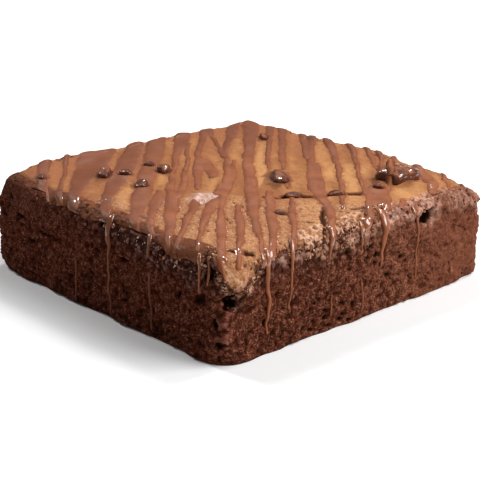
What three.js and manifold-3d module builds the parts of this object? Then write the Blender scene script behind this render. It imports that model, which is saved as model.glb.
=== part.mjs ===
// A brookie: a square bar of fudgy brownie with a cookie layer baked on top, and chocolate chunks set in
// the cookie. Millimetres, +Z up, the origin at the middle of the flat base, the sides along X and Y. The
// cookie hangs lowest over the +X -Y corner, and the brownie climbed highest at the -X -Y and +X +Y corners,
// where the bar itself is lower.
import * as THREE from "three";
import { mergeVertices } from "three/addons/utils/BufferGeometryUtils.js";
import Module from "manifold-3d";

const wasm = await Module();
wasm.setup();

// The bar.
const SIDE = 86.3; // width of the bar both ways, before its unevenness
const HEIGHT = 23.4; // height of the top's edge
const CORNER_R = 5.2; // upright corners, seen from above
const SHOULDER_R = 4.4; // rounding from the walls to the top
const LEAN = 0.6; // how far the walls lean in from base to top
const BASE_INSET = 0.35; // the base's edge is drawn in by this much
const BASE_RISE = 0.6; // over this height
const DOME = 0.6; // how far the middle of the top stands over its edge
const WALL_LUMP = 0.45; // unevenness of the walls
const TOP_LUMP = 0.42; // unevenness of the top
// Where the top's -X and +Y edges stand higher: x + y there, half-width, height.
const BACK_RISES = [
  { at: -70, wide: 26, rise: 1.5 },
  { at: 42, wide: 20, rise: 0.8 },
];
// At the -X -Y and +X +Y corners the bar is lower, and its base is drawn in.
const FALL = 3; // how much lower, at the very corner
const FALL_FROM = 0.8; // where the fall begins, as a share of the way from the middle to that corner
const FALL_BASE = 1; // how far the base is drawn in there
const FALL_RISE = 2.5; // over this height

// Where the cookie lies on the brownie.
const GAP = 0.3; // between the two, and round each chunk
const CORE_HEIGHT = 17.8; // top of the brownie under the middle of the cookie
const CORE_INSET = 10; // how far in from the walls the brownie's top has become level
const CORE_STEPS = [0.45, 1]; // places on the way in where that top gets a ring of points
// Height of the brownie's upper edge, in six equal steps along each face, anticlockwise from the -X -Y
// corner.
const BROWNIE_EDGE = [
  [22.9, 22.9, 21.7, 21.4, 22.4, 20.5],
  [21.3, 20.5, 20.6, 20.9, 22.7, 22.9],
  [22.9, 22.6, 21.4, 20.8, 21.6, 20.6],
  [19.9, 20.4, 21.2, 20.6, 21.8, 22.6],
].flat();
const EDGE_WAVE = 0.35; // how far that edge waves up and down
const EDGE_TOP = 22.8; // it climbs no higher than this
// Places where the cookie slid further down, or with a drop below zero not so far: how far round the bar
// from the -X -Y corner, half-width, drop.
const SLIDES = [
  { round: 88.6, wide: 4.2, drop: 4 },
  { round: 92, wide: 4.2, drop: 4 },
  { round: 81.6, wide: 3.6, drop: -1.4 },
  { round: 213, wide: 6, drop: 1.4 },
  { round: 281, wide: 5, drop: 1.2 },
];

// The mesh.
const RINGS = 17; // square rings of faces on the top
const STATIONS = 8 * RINGS; // points round the bar
const WALL_ROWS = 9; // rows of faces up the brownie's wall
const SHOULDER_ROWS = 4; // rows of faces up the cookie's edge

// Dents where crumb fell out of the walls: middle, radius along the wall, radius upright, depth.
const DENTS = [
  { at: [42.3, -39.6, 13.8], wide: 4.2, high: 3.6, deep: 1.7 },
  { at: [42.8, 21.8, 19], wide: 4.4, high: 2.4, deep: 1.4 },
  { at: [-38, -42.8, 18.8], wide: 3.4, high: 3.2, deep: 1.2 },
  { at: [-42.6, 12, 11], wide: 4, high: 2.8, deep: 1.3 },
  { at: [-18, 42.6, 14], wide: 4.6, high: 2.6, deep: 1.4 },
];

// Chunks of chocolate: their place on the bar's diagonals (across, towards the +X +Y corner, and along,
// towards the +X -Y corner), their length, width and height, their turn in degrees, and how far they stand
// over the cookie.
const CHUNKS = [
  { across: 38.1, along: 0.6, size: [10.4, 7.4, 6.8], turn: 90, proud: 3.4 },
  { across: 9.8, along: 2.2, size: [9, 5.4, 4.8], turn: -38, proud: 1.8 },
  { across: 13.9, along: 14.8, size: [4.8, 2.8, 3.4], turn: 45, proud: 1 },
  { across: 23.9, along: 13.6, size: [4.2, 3.2, 3.8], turn: 45, proud: 1.3 },
  { across: 33.9, along: 7.9, size: [3.8, 3, 4], turn: -45, proud: 1.6 },
  { across: 11.2, along: 27.3, size: [3.2, 2.9, 3.2], turn: 45, proud: 1.2 },
  { across: -32.2, along: 1.8, size: [6.4, 3.4, 4.4], turn: -45, proud: 2 },
  { across: -27.2, along: 1.3, size: [3.7, 3.2, 3.6], turn: 45, proud: 1.5 },
  { across: -22.4, along: 9, size: [4.4, 3.4, 3.8], turn: -50, proud: 1.5 },
  { across: -18.1, along: -3, size: [4.8, 3.6, 4.2], turn: -40, proud: 1.9 },
  { across: -22.4, along: -8, size: [2.9, 2.5, 2.8], turn: 45, proud: 1.1 },
  { across: -47, along: 3.9, size: [2.9, 2.6, 2.8], turn: 30, proud: 1.2 },
  { across: 5.4, along: -35.2, size: [5, 3, 3.8], turn: -45, proud: 1.6 },
];
const CHUNK_SQUARE = 0.72; // below 1 a chunk is blockier than an egg
const CHUNK_KNOCK = 0.12; // how much of it is knocked off in places

const { clamp, degToRad, lerp, smoothstep } = THREE.MathUtils;

// Slow unevenness of the walls, about -1 to 1: waves that run round the bar and up it.
function wallLump(x, y, z) {
  return (
    0.5 * Math.sin(0.29 * x - 0.23 * y + 0.21 * z + 0.6) +
    0.32 * Math.sin(0.47 * x + 0.55 * y - 0.4 * z + 2.1) +
    0.24 * Math.sin(0.83 * y - 0.71 * x + 0.78 * z + 4.4)
  );
}

// Slow unevenness of the top, about -1 to 1.
function topLump(x, y) {
  return (
    0.55 * Math.sin(0.17 * x + 0.13 * y + 1.2) +
    0.35 * Math.sin(0.28 * x - 0.31 * y + 0.4) +
    0.25 * Math.sin(0.45 * x + 0.39 * y + 3.3)
  );
}

// How far the top stands over its nominal height: unevenness, dome and higher back edges.
function topRise(x, y) {
  const out = Math.max(Math.abs(x), Math.abs(y)) / (SIDE / 2);
  let height = TOP_LUMP * topLump(x, y) + DOME * Math.max(1 - out * out, 0);
  const back = smoothstep(Math.abs(x + y) - x + y, 56, 82);
  for (const { at, wide, rise } of BACK_RISES) {
    height += rise * back * (1 - smoothstep(Math.abs(x + y - at) / wide, 0.4, 1));
  }
  return height;
}

// Station j as a point on the edge of the square from -1 to 1, anticlockwise from its -1, -1 corner.
function squareEdge(j) {
  const t = (j % (2 * RINGS)) / RINGS - 1;
  const sides = [
    [t, -1],
    [1, t],
    [-t, 1],
    [-1, -t],
  ];
  return sides[Math.floor(j / (2 * RINGS))];
}

// The rounded square at an inset from the wall, for a point (u, v) of the square's edge: its point and
// normal there.
function outline(u, v, inset) {
  const half = SIDE / 2 - inset;
  const r = Math.min(Math.max(CORNER_R - inset, 1), half);
  const corner = new THREE.Vector2(half - r, half - r);
  const onSquare = new THREE.Vector2(u * half, v * half);
  const point = onSquare.clone().clamp(corner.clone().negate(), corner);
  const normal = onSquare.sub(point).normalize();
  return { point: point.addScaledVector(normal, r), normal };
}

// How far a place belongs to the two fallen corners, from 0 to 1.
function fallShare(x, y) {
  return smoothstep(Math.abs(x + y) / SIDE, FALL_FROM, 1);
}

// How far a wall is drawn in at a height: the base's edge, the lean, and the quarter-round shoulder.
function wallInset(z) {
  const low = BASE_INSET * (1 - smoothstep(z, 0, BASE_RISE));
  const rise = clamp((z - HEIGHT + SHOULDER_R) / SHOULDER_R, 0, 1);
  return low + (LEAN * z) / HEIGHT + SHOULDER_R * (1 - Math.sqrt(1 - rise * rise));
}

// How deep the wall is dented at a point.
function dentDepth(x, y, z) {
  let depth = 0;
  for (const { at, wide, high, deep } of DENTS) {
    const off = Math.hypot((x - at[0]) / wide, (y - at[1]) / wide, (z - at[2]) / high);
    depth += deep * (1 - smoothstep(off, 0.25, 1));
  }
  return depth;
}

// The bar's outer surface, unevenness and all, for a point (u, v) of the square's edge, an inset and a
// height.
function surface(u, v, inset, z) {
  const { point, normal } = outline(u, v, inset);
  const fall = fallShare(point.x, point.y);
  const upper = smoothstep(z, HEIGHT - SHOULDER_R, HEIGHT);
  const drawnIn = dentDepth(point.x, point.y, z) + FALL_BASE * fall * (1 - smoothstep(z, 0, FALL_RISE));
  point.addScaledVector(normal, (WALL_LUMP * wallLump(point.x, point.y, z) - drawnIn) * (1 - upper));
  const level = z * (1 - (FALL * fall) / HEIGHT) + upper * topRise(point.x, point.y);
  return new THREE.Vector3(point.x, point.y, level);
}

// The height of the brownie's upper edge, for a share of the way round the bar.
function brownieEdge(turn) {
  const step = turn * BROWNIE_EDGE.length;
  const k = Math.floor(step);
  const [a, b] = [BROWNIE_EDGE[k], BROWNIE_EDGE[(k + 1) % BROWNIE_EDGE.length]];
  let height = lerp(a, b, smoothstep(step - k, 0, 1));
  height += EDGE_WAVE * Math.sin(2 * Math.PI * 15 * turn + 0.8) * Math.sin(2 * Math.PI * 8 * turn + 2);
  for (const { round, wide, drop } of SLIDES) {
    height -= drop * (1 - smoothstep(Math.abs(turn * 4 * SIDE - round) / wide, 0, 1));
  }
  return Math.min(height, EDGE_TOP);
}

// One ring of points round the bar, from a function of the square's edge point and the share of the way
// round.
function ringOf(pointAt) {
  return Array.from({ length: STATIONS }, (_, j) => pointAt(...squareEdge(j), j / STATIONS));
}

// The rings by which the brownie's top leads in from its edge to the level middle, raised by lift.
function meetingRings(lift) {
  return CORE_STEPS.map((share) =>
    ringOf((u, v, turn) => {
      const edge = brownieEdge(turn);
      const { point } = outline(u, v, lerp(wallInset(edge), CORE_INSET, share));
      const level = lerp(edge, CORE_HEIGHT, smoothstep(share, 0, 1));
      return new THREE.Vector3(point.x, point.y, level + lift);
    }),
  );
}

// A body under construction: points, and triangles that turn anticlockwise seen from outside.
class Body {
  constructor() {
    this.points = [];
    this.faces = [];
  }

  // Adds points and gives their numbers.
  add(points) {
    const first = this.points.length;
    this.points.push(...points);
    return points.map((_, j) => first + j);
  }

  // Joins each ring to the next with a band of faces; flipped, the bands face the other way with the same
  // edges.
  bands(rings, flipped) {
    rings.slice(1).forEach((upper, i) => {
      const lower = rings[i];
      lower.forEach((a, j) => {
        const next = (j + 1) % STATIONS;
        const pair = [
          [a, lower[next], upper[next]],
          [a, upper[next], upper[j]],
        ];
        this.faces.push(...pair.map((face) => (flipped ? face.reverse() : face)));
      });
    });
  }

  // Closes a ring that lies flat, seen from above or from below.
  cap(ring, up) {
    const flat = ring.map((i) => new THREE.Vector2(this.points[i].x, this.points[i].y));
    for (const [a, b, c] of THREE.ShapeUtils.triangulateShape(flat, [])) {
      this.faces.push(up ? [ring[a], ring[b], ring[c]] : [ring[a], ring[c], ring[b]]);
    }
  }

  solid() {
    return solidOf(this.points.flatMap((p) => [p.x, p.y, p.z]), this.faces.flat());
  }
}

function solidOf(positions, corners) {
  const vertProperties = new Float32Array(positions);
  const triVerts = new Uint32Array(corners);
  return new wasm.Manifold(new wasm.Mesh({ numProp: 3, vertProperties, triVerts }));
}

function makeBrownie() {
  const body = new Body();
  const wall = Array.from({ length: WALL_ROWS + 1 }, (_, row) =>
    ringOf((u, v, turn) => {
      const share = Math.max(row - 1, 0) / (WALL_ROWS - 1);
      const z = row === 0 ? 0 : lerp(BASE_RISE, brownieEdge(turn), share);
      return surface(u, v, wallInset(z), z);
    }),
  );
  const rings = [...wall, ...meetingRings(0)].map((ring) => body.add(ring));
  body.bands(rings, false);
  body.cap(rings[0], false);
  body.cap(rings.at(-1), true);
  return body.solid();
}

// The top inside its edge ring: nested rounded squares, whose points lie on a square grid.
function addTop(body, edgeRing) {
  const count = 2 * RINGS;
  const grid = Array.from({ length: count + 1 }, () => []);
  edgeRing.forEach((number, j) => {
    const [u, v] = squareEdge(j);
    grid[Math.round((u + 1) * RINGS)][Math.round((v + 1) * RINGS)] = number;
  });
  for (let i = 1; i < count; i++) {
    for (let k = 1; k < count; k++) {
      const [u, v] = [i / RINGS - 1, k / RINGS - 1];
      const share = Math.max(Math.abs(u), Math.abs(v));
      const inset = lerp(SIDE / 2, wallInset(HEIGHT), share);
      grid[i][k] = body.add([surface(u / (share || 1), v / (share || 1), inset, HEIGHT)])[0];
    }
  }
  for (let i = 0; i < count; i++) {
    for (let k = 0; k < count; k++) {
      const [a, b, c, d] = [grid[i][k], grid[i + 1][k], grid[i + 1][k + 1], grid[i][k + 1]];
      body.faces.push([a, b, c], [a, c, d]);
    }
  }
}

function makeCookie() {
  const body = new Body();
  const edge = Array.from({ length: SHOULDER_ROWS + 1 }, (_, row) =>
    ringOf((u, v, turn) => {
      // The rows crowd towards the top, where the shoulder curves in.
      const share = Math.sin((Math.PI / 2) * (row / SHOULDER_ROWS));
      const z = lerp(brownieEdge(turn) + GAP, HEIGHT, share);
      return surface(u, v, wallInset(z), z);
    }),
  );
  const side = edge.map((ring) => body.add(ring));
  const under = [side[0], ...meetingRings(GAP).map((ring) => body.add(ring))];
  body.bands(side, false);
  body.bands(under, true);
  body.cap(under.at(-1), false);
  addTop(body, side.at(-1));
  return body.solid();
}

// A chunk, or with a margin the pocket it sits in: an egg made blocky, knocked about, turned and set into
// the top.
function makeChunk({ across, along, size, turn, proud }, margin) {
  const egg = new THREE.IcosahedronGeometry(1, 1);
  egg.deleteAttribute("normal");
  egg.deleteAttribute("uv");
  const geometry = mergeVertices(egg);
  const position = geometry.getAttribute("position");
  const blocky = (t, width) => Math.sign(t) * Math.abs(t) ** CHUNK_SQUARE * (width / 2 + margin);
  for (let i = 0; i < position.count; i++) {
    const p = new THREE.Vector3().fromBufferAttribute(position, i);
    const wave = Math.sin(3.1 * p.x + across) * Math.sin(2.7 * p.y + 2 * p.z + along);
    const knock = 1 - CHUNK_KNOCK * (1 + wave);
    const blocks = [blocky(p.x, size[0]), blocky(p.y, size[1]), blocky(p.z, size[2])];
    position.setXYZ(i, ...blocks.map((t) => t * knock));
  }
  const x = (across + along) * Math.SQRT1_2;
  const y = (across - along) * Math.SQRT1_2;
  geometry.rotateZ(degToRad(turn));
  geometry.translate(x, y, HEIGHT + topRise(x, y) + proud - size[2] / 2);
  return solidOf(position.array, geometry.index.array);
}

function meshOf(name, solid, look) {
  const { vertProperties, triVerts } = solid.getMesh();
  const geometry = new THREE.BufferGeometry();
  geometry.setAttribute("position", new THREE.BufferAttribute(vertProperties, 3));
  geometry.setIndex(new THREE.BufferAttribute(triVerts, 1));
  geometry.computeVertexNormals();
  const mesh = new THREE.Mesh(geometry, new THREE.MeshStandardMaterial(look));
  mesh.name = name;
  return mesh;
}

const BROWNIE_LOOK = { color: 0x5a3326, roughness: 0.75 };
const COOKIE_LOOK = { color: 0xb58054, roughness: 0.7 };
const CHOCOLATE_LOOK = { color: 0x6b3d2a, roughness: 0.45 };

const brookie = new THREE.Group();
brookie.name = "brookie";
brookie.add(meshOf("brownie_base", makeBrownie(), BROWNIE_LOOK));
const pockets = CHUNKS.map((chunk) => makeChunk(chunk, GAP));
const cookie = pockets.reduce((left, pocket) => left.subtract(pocket), makeCookie());
brookie.add(meshOf("cookie_layer", cookie, COOKIE_LOOK));
CHUNKS.forEach((chunk, i) => {
  const name = `chocolate_chunk_${String(i + 1).padStart(2, "0")}`;
  brookie.add(meshOf(name, makeChunk(chunk, 0), CHOCOLATE_LOOK));
});

export default brookie;
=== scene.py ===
"""A brookie: a square of brownie under a cookie layer, with chocolate chunks and a milk chocolate drizzle.

Shapes are worked out in millimetres, and go into the meshes in metres.
"""

import math
from itertools import product

import bpy
import numpy as np
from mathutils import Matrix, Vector


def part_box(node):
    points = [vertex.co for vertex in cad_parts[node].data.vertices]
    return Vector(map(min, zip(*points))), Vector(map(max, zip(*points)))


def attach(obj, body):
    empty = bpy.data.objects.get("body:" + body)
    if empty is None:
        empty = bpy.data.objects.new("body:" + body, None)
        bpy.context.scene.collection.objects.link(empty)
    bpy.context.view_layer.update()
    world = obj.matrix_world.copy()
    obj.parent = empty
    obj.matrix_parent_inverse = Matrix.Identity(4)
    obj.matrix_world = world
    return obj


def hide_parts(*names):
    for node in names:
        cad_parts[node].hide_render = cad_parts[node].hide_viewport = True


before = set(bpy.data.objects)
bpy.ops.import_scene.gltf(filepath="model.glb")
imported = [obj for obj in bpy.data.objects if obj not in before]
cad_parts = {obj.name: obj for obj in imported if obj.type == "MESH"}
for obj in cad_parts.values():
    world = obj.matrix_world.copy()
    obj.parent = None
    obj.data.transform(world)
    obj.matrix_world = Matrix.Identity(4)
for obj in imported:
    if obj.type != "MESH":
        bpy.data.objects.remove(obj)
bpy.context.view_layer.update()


# ----------------------------------------
# The brownie. A slab of fudgy brownie cut square from a tray: moist dark crumb, full of pores, that
# climbed highest at two of its corners. Its wall is a grid of points round the bar and up it, roughened
# by the crumb.

SIDE = 86.3  # the bar's width both ways, before its unevenness
HEIGHT = 23.4  # the height of its top's edge
CORNER_R, LEAST_R = 5.2, 1.0  # the upright corners, seen from above, and their least radius further in
SHOULDER_R = 4.4  # the rounding from the walls to the top
LEAN = 0.6  # how far the walls lean in
BASE_INSET, BASE_RISE = 0.35, 0.6  # the base's edge is drawn in, over this height
DOME, WALL_LUMP, TOP_LUMP = 0.6, 0.45, 0.42  # the top's dome, and the slow waves on wall and top
BACK_RISES = [(-70, 26, 1.5), (42, 20, 0.8)]  # its higher -X and +Y edges: x + y, half-width, height
# The bar is lower at its -X -Y and +X +Y corners: by how much, from what share of the way to them, and
# how far the base is drawn in there, over what height.
FALL, FALL_FROM, FALL_BASE, FALL_RISE = 3, 0.8, 1, 2.5
GAP = 0.3  # between brownie and cookie
CORE_HEIGHT, CORE_INSET = 17.8, 10  # the brownie's level top under the cookie
EDGE_TOP = 22.8  # the brownie's edge climbs no higher
FRONT = 36  # further out than this, in x or in -y, a place is on one of the two front walls
RIM = 34  # and further out than this, on such a wall or the rim over it
BROWNIE_EDGE = np.array(
    [22.9, 22.9, 21.7, 21.4, 22.4, 20.5]  # -Y face, from the -X -Y corner
    + [21.3, 20.5, 20.6, 20.9, 22.7, 22.9]  # +X face
    + [22.9, 22.6, 21.4, 20.8, 21.6, 20.6]  # +Y face
    + [19.9, 20.4, 21.2, 20.6, 21.8, 22.6]  # -X face
)
# Where the cookie slid further down, or below zero not so far: place round, half-width, drop.
SLIDES = [(88.6, 4.2, 4), (92, 4.2, 4), (81.6, 3.6, -1.4), (213, 6, 1.4), (281, 5, 1.2)]
DENTS = [  # where crumb fell out: middle, radius along the wall, radius upright, depth
    ((42.3, -39.6, 13.8), 4.2, 3.6, 1.7),
    ((42.8, 21.8, 19), 4.4, 2.4, 1.4),
    ((-38, -42.8, 18.8), 3.4, 3.2, 1.2),
    ((-42.6, 12, 11), 4, 2.8, 1.3),
    ((-18, 42.6, 14), 4.6, 2.6, 1.4),
]
PITS = [  # deep holes in the crumb: middle, radius along the wall, radius upright, depth
    ((41, -39.4, 14), 2.3, 2.3, 3.4),
    ((38.4, -42.4, 20.4), 2.4, 2.4, 2.4),
    ((39.6, -42, 9.4), 1.6, 1.6, 1.4),
    ((40.4, -41.4, 5), 1.8, 1.2, 1.6),
    ((41.6, 21.4, 19.2), 3.0, 1.9, 2.4),
    ((42.8, 13.2, 16.2), 1.3, 1.1, 0.7),
    ((42.8, -5.4, 17.4), 1.6, 1.2, 0.9),
    ((42.8, 9.6, 14.6), 1.4, 0.9, 0.6),
    ((42.8, 32, 17), 0.9, 0.7, 0.5),
    ((43, 3.6, 14.2), 1.3, 1.0, 1.3),
    ((43, -9.5, 8.2), 1.0, 0.8, 0.6),
    ((43, 12.4, 11.5), 1.2, 0.8, 0.9),
    ((-36, -43, 19), 2.4, 1.5, 1.6),
    ((-25.4, -43, 21), 1.6, 1.0, 1.1),
    ((-15.4, -43, 20.4), 1.4, 0.9, 1.0),
    ((-31, -43, 15.8), 3.4, 0.6, 0.9),
    ((-26, -43, 10.4), 2.6, 0.6, 0.8),
    ((9.5, -43, 15.4), 2.4, 0.8, 1.3),
    ((34.8, -43, 13.6), 2.2, 1.2, 1.2),
    ((-21, -43, 13.8), 6.2, 0.55, 1.1),
    ((7.2, -43, 12.6), 1.0, 0.7, 0.9),
    ((-43, 12, 11), 2.2, 1.4, 1.8),
    ((-43, -24, 15), 3.2, 0.8, 1.2),
    ((-18, 43, 14), 2.6, 1.2, 1.8),
    ((20, 43, 9), 1.4, 1.0, 1.3),
]
BROWNIE_STATIONS, BROWNIE_ROWS = 1200, 70
ARRIS = 1.15  # the +X -Y corner was cut sharp: how far it stands out past its rounding


def smoothstep(x, low, high):
    """0 below low, 1 above high, and 3t^2 - 2t^3 between, t being the share of the way."""
    t = np.clip((x - low) / (high - low), 0, 1)
    return t * t * (3 - 2 * t)


def fades(x, low, high):
    """1 below low and 0 above high: what smoothstep leaves of 1."""
    return 1 - smoothstep(x, low, high)


def span(x, rise_from, rise_to, fall_from, fall_to):
    """Up smoothly from 0 to 1 between the first two places, and down again between the last two."""
    return smoothstep(x, rise_from, rise_to) * fades(x, fall_from, fall_to)


def lerp(a, b, share):
    """a, b, and the straight way between them."""
    return a + (b - a) * share


PRIMES = np.array([374761393, 668265263, 1440662683])
MASK = 2**32 - 1


def scrambled(cell, seed):
    """A fixed number from 0 to 1 for each whole-numbered cell, by multiplying and folding its three
    numbers."""
    mixed = (cell @ PRIMES + seed * 974634777) & MASK
    mixed = ((mixed ^ (mixed >> 13)) * 1274126177) & MASK
    return (mixed ^ (mixed >> 16)) / (MASK + 1)


TURN = np.array([[0.36, 0.48, -0.8], [-0.8, 0.6, 0.0], [0.48, 0.64, 0.6]])  # a rotation between octaves


def ripple(points, size, seed, octaves=2):
    """Cloudy noise about -1 to 1: random corner values blended smoothly over cells, each octave half as
    wide."""
    total = np.zeros(len(points))
    place = points / size
    for octave in range(octaves):
        cell = np.floor(place).astype(np.int64)
        t = place - cell
        t = t * t * (3 - 2 * t)
        octave_sum = np.zeros(len(points))
        for corner in product((0, 1), repeat=3):
            weight = np.prod(np.where(np.array(corner) == 1, t, 1 - t), axis=1)
            octave_sum += weight * (2 * scrambled(cell + np.array(corner), seed + octave) - 1)
        total += octave_sum * 0.5**octave
        place = place @ TURN.T * 2.03
    return total


def nearest_grain(points, size, seed):
    """The distance, in grain sizes, to the nearest of the points scattered one to a cube of that size."""
    place = points / size
    cell = np.floor(place).astype(np.int64)
    best = np.full(len(points), 9.0)
    for step in product((-1, 0, 1), repeat=3):
        near = cell + np.array(step)
        spot = near + np.stack([scrambled(near, seed + k) for k in range(3)], axis=1)
        best = np.minimum(best, ((place - spot) ** 2).sum(axis=1))
    return np.sqrt(best)


def square_edge(stations):
    """Points round the square from -1 to 1, anticlockwise from its -1, -1 corner, and their share of the
    way round."""
    turn = np.arange(stations) / stations
    side, t = np.divmod(turn * 4, 1)
    t = 2 * t - 1
    one = np.ones(stations)
    u = np.choose(side.astype(int), [t, one, -t, -one])
    v = np.choose(side.astype(int), [-one, t, one, -t])
    return u, v, turn


def outline(u, v, inset):
    """The rounded square at an inset from the wall: the square's point is clamped to the corners'
    centres, and goes out from there by the corner's radius. Gives x, y and the normal."""
    half = SIDE / 2 - inset
    r = np.minimum(np.maximum(CORNER_R - inset, LEAST_R), half)
    core = half - r
    cx, cy = np.clip(u * half, -core, core), np.clip(v * half, -core, core)
    nx, ny = u * half - cx, v * half - cy
    length = np.maximum(np.hypot(nx, ny), 1e-9)
    nx, ny = nx / length, ny / length
    return cx + r * nx, cy + r * ny, nx, ny


def fall_share(x, y):
    """How far a place belongs to the two low corners."""
    return smoothstep(np.abs(x + y) / SIDE, FALL_FROM, 1)


def wall_inset(z):
    """How far the wall is drawn in: the base's edge, the lean and the quarter-round shoulder."""
    rise = np.clip((z - HEIGHT + SHOULDER_R) / SHOULDER_R, 0, 1)
    straight = BASE_INSET * fades(z, 0, BASE_RISE) + LEAN * z / HEIGHT
    return straight + SHOULDER_R * (1 - np.sqrt(1 - rise * rise))


def top_rise(x, y):
    """How far the top stands over its nominal height: three slow waves, a dome and the higher back
    edges."""
    waves = 0.55 * np.sin(0.17 * x + 0.13 * y + 1.2) + 0.35 * np.sin(0.28 * x - 0.31 * y + 0.4)
    waves = waves + 0.25 * np.sin(0.45 * x + 0.39 * y + 3.3)
    out = np.maximum(np.abs(x), np.abs(y)) / (SIDE / 2)
    height = TOP_LUMP * waves + DOME * np.maximum(1 - out * out, 0)
    back = smoothstep(np.abs(x + y) - x + y, 56, 82)
    for place, wide, rise in BACK_RISES:
        height = height + rise * back * fades(np.abs(x + y - place) / wide, 0.4, 1)
    return height


def hollows(x, y, z, places):
    """How deep the wall is hollowed: each place's depth, fading from a quarter of its radii to all of
    them."""
    depth = np.zeros_like(x)
    for (ax, ay, az), wide, high, deep in places:
        off = np.sqrt(((x - ax) / wide) ** 2 + ((y - ay) / wide) ** 2 + ((z - az) / high) ** 2)
        depth = depth + deep * fades(off, 0.25, 1)
    return depth


def bar_surface(u, v, inset, z):
    """The bar's outer surface with its slow unevenness, as x, y, z arrays."""
    x, y, nx, ny = outline(u, v, inset)
    fall = fall_share(x, y)
    upper = smoothstep(z, HEIGHT - SHOULDER_R, HEIGHT)
    waves = 0.5 * np.sin(0.29 * x - 0.23 * y + 0.21 * z + 0.6)
    waves = waves + 0.32 * np.sin(0.47 * x + 0.55 * y - 0.4 * z + 2.1)
    waves = waves + 0.24 * np.sin(0.83 * y - 0.71 * x + 0.78 * z + 4.4)
    drawn_in = hollows(x, y, z, DENTS) + FALL_BASE * fall * fades(z, 0, FALL_RISE)
    out = (WALL_LUMP * waves - drawn_in) * (1 - upper)
    x, y = x + nx * out, y + ny * out
    return x, y, z * (1 - FALL * fall / HEIGHT) + upper * top_rise(x, y)


def brownie_edge(turn):
    """The height of the brownie's upper edge at a share of the way round: steps joined smoothly, waves
    and slides."""
    count = len(BROWNIE_EDGE)
    step = turn * count
    k = np.floor(step).astype(int) % count
    height = lerp(BROWNIE_EDGE[k], BROWNIE_EDGE[(k + 1) % count], smoothstep(step - np.floor(step), 0, 1))
    height = height + 0.35 * np.sin(30 * np.pi * turn + 0.8) * np.sin(16 * np.pi * turn + 2)
    for place, wide, drop in SLIDES:
        height = height - drop * fades(np.abs(turn * 4 * SIDE - place) / wide, 0, 1)
    # Noise read round a circle about as long as the four walls.
    angle = 2 * np.pi * turn
    ring = 54 * np.stack([np.cos(angle), np.sin(angle), np.zeros_like(turn)], axis=1)
    height = height + 0.35 * ripple(ring, 5.0, 11, 3)
    return np.minimum(height, EDGE_TOP)


def normals_of(grid):
    """The outward normals of a grid of rings (row, station, xyz): the cross product of the steps along
    and up it."""
    along = np.roll(grid, -1, axis=1) - np.roll(grid, 1, axis=1)
    up = np.gradient(grid, axis=0)
    normal = np.cross(along, up)
    return normal / np.maximum(np.linalg.norm(normal, axis=2, keepdims=True), 1e-9)


def make_piece(name, points, quads, triangles, slot, **fields):
    """A mesh object from points in millimetres and faces by point numbers, with a value at each point per
    field."""
    mesh = bpy.data.meshes.new(name)
    corners = np.concatenate([quads.ravel(), triangles.ravel()])
    sizes = np.concatenate([np.full(len(quads), 4), np.full(len(triangles), 3)])
    mesh.vertices.add(len(points))
    mesh.vertices.foreach_set("co", (np.asarray(points) * 0.001).ravel())
    mesh.loops.add(len(corners))
    mesh.loops.foreach_set("vertex_index", corners)
    mesh.polygons.add(len(sizes))
    mesh.polygons.foreach_set("loop_start", np.cumsum(sizes) - sizes)
    mesh.polygons.foreach_set("use_smooth", np.ones(len(sizes), bool))
    mesh.update(calc_edges=True)
    mesh.validate()
    for field, values in fields.items():
        attribute = mesh.attributes.new(field, "FLOAT", "POINT")
        attribute.data.foreach_set("value", np.asarray(values, np.float32).ravel())
    piece = bpy.data.objects.new(name, mesh)
    bpy.context.scene.collection.objects.link(piece)
    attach(piece, "root")
    return piece


def ring_quads(rows, stations, first=0):
    """The faces between rings of points numbered one after another, turned to face outwards."""
    j = np.arange(stations)
    lower = first + (np.arange(rows - 1) * stations)[:, None]
    a, b = lower + j, lower + (j + 1) % stations
    return np.stack([a, b, b + stations, a + stations], axis=2).reshape(-1, 4)


def closing_fan(ring, middle, up):
    """Triangles from a ring of point numbers to a middle point, seen from above or from below."""
    after = np.roll(ring, -1)
    fan = np.stack([ring, after, np.full_like(ring, middle)], axis=1)
    return fan if up else fan[:, ::-1]


def end_fans(rows, stations, middle, first=0):
    """The fans that close a stack of rings: the lowest to the middle point of that number, the highest to
    the next."""
    ring = first + np.arange(stations)
    top_ring = ring + (rows - 1) * stations
    return np.vstack([closing_fan(ring, middle, up=False), closing_fan(top_ring, middle + 1, up=True)])


def corner_ridge(points):
    """The sharp part of the +X -Y corner, from 0 to 1: a bell round the corner's middle, fading above and
    below."""
    x, y, z = points.T
    centre = SIDE / 2 - CORNER_R
    off = np.arctan2(-y - centre, x - centre) - np.pi / 4
    return np.exp(-((off / 0.36) ** 2)) * span(z, 1, 6, 13, 18)


def crumb_relief(points):
    """How far the crumb stands out of the smooth wall: slow swells, a sharp corner and lumps; then the
    grains; then the pores. Where the knife pressed it, towards the +X +Y corner, the crumb is
    smoother."""
    rough = 1 - 0.5 * pressed_share(points)
    slow = 0.3 * ripple(points, 7.0, 21) + ARRIS * corner_ridge(points)
    slow = slow + 0.24 * ripple(points, 2.4, 22)
    grains = 0.6 * (0.5 - nearest_grain(points, 1.3, 23)) + 0.42 * (0.5 - nearest_grain(points, 0.8, 27))
    patch = smoothstep(ripple(points, 9.0, 31), -0.35, 0.55)
    pores = 0.95 * fades(nearest_grain(points * np.array([1, 1, 1.5]), 3.4, 32), 0.12, 0.36) * patch
    pores = pores + 0.6 * fades(nearest_grain(points, 1.9, 36), 0.1, 0.36) * (0.35 + 0.65 * patch)
    return slow, grains * rough, pores * rough


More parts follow.
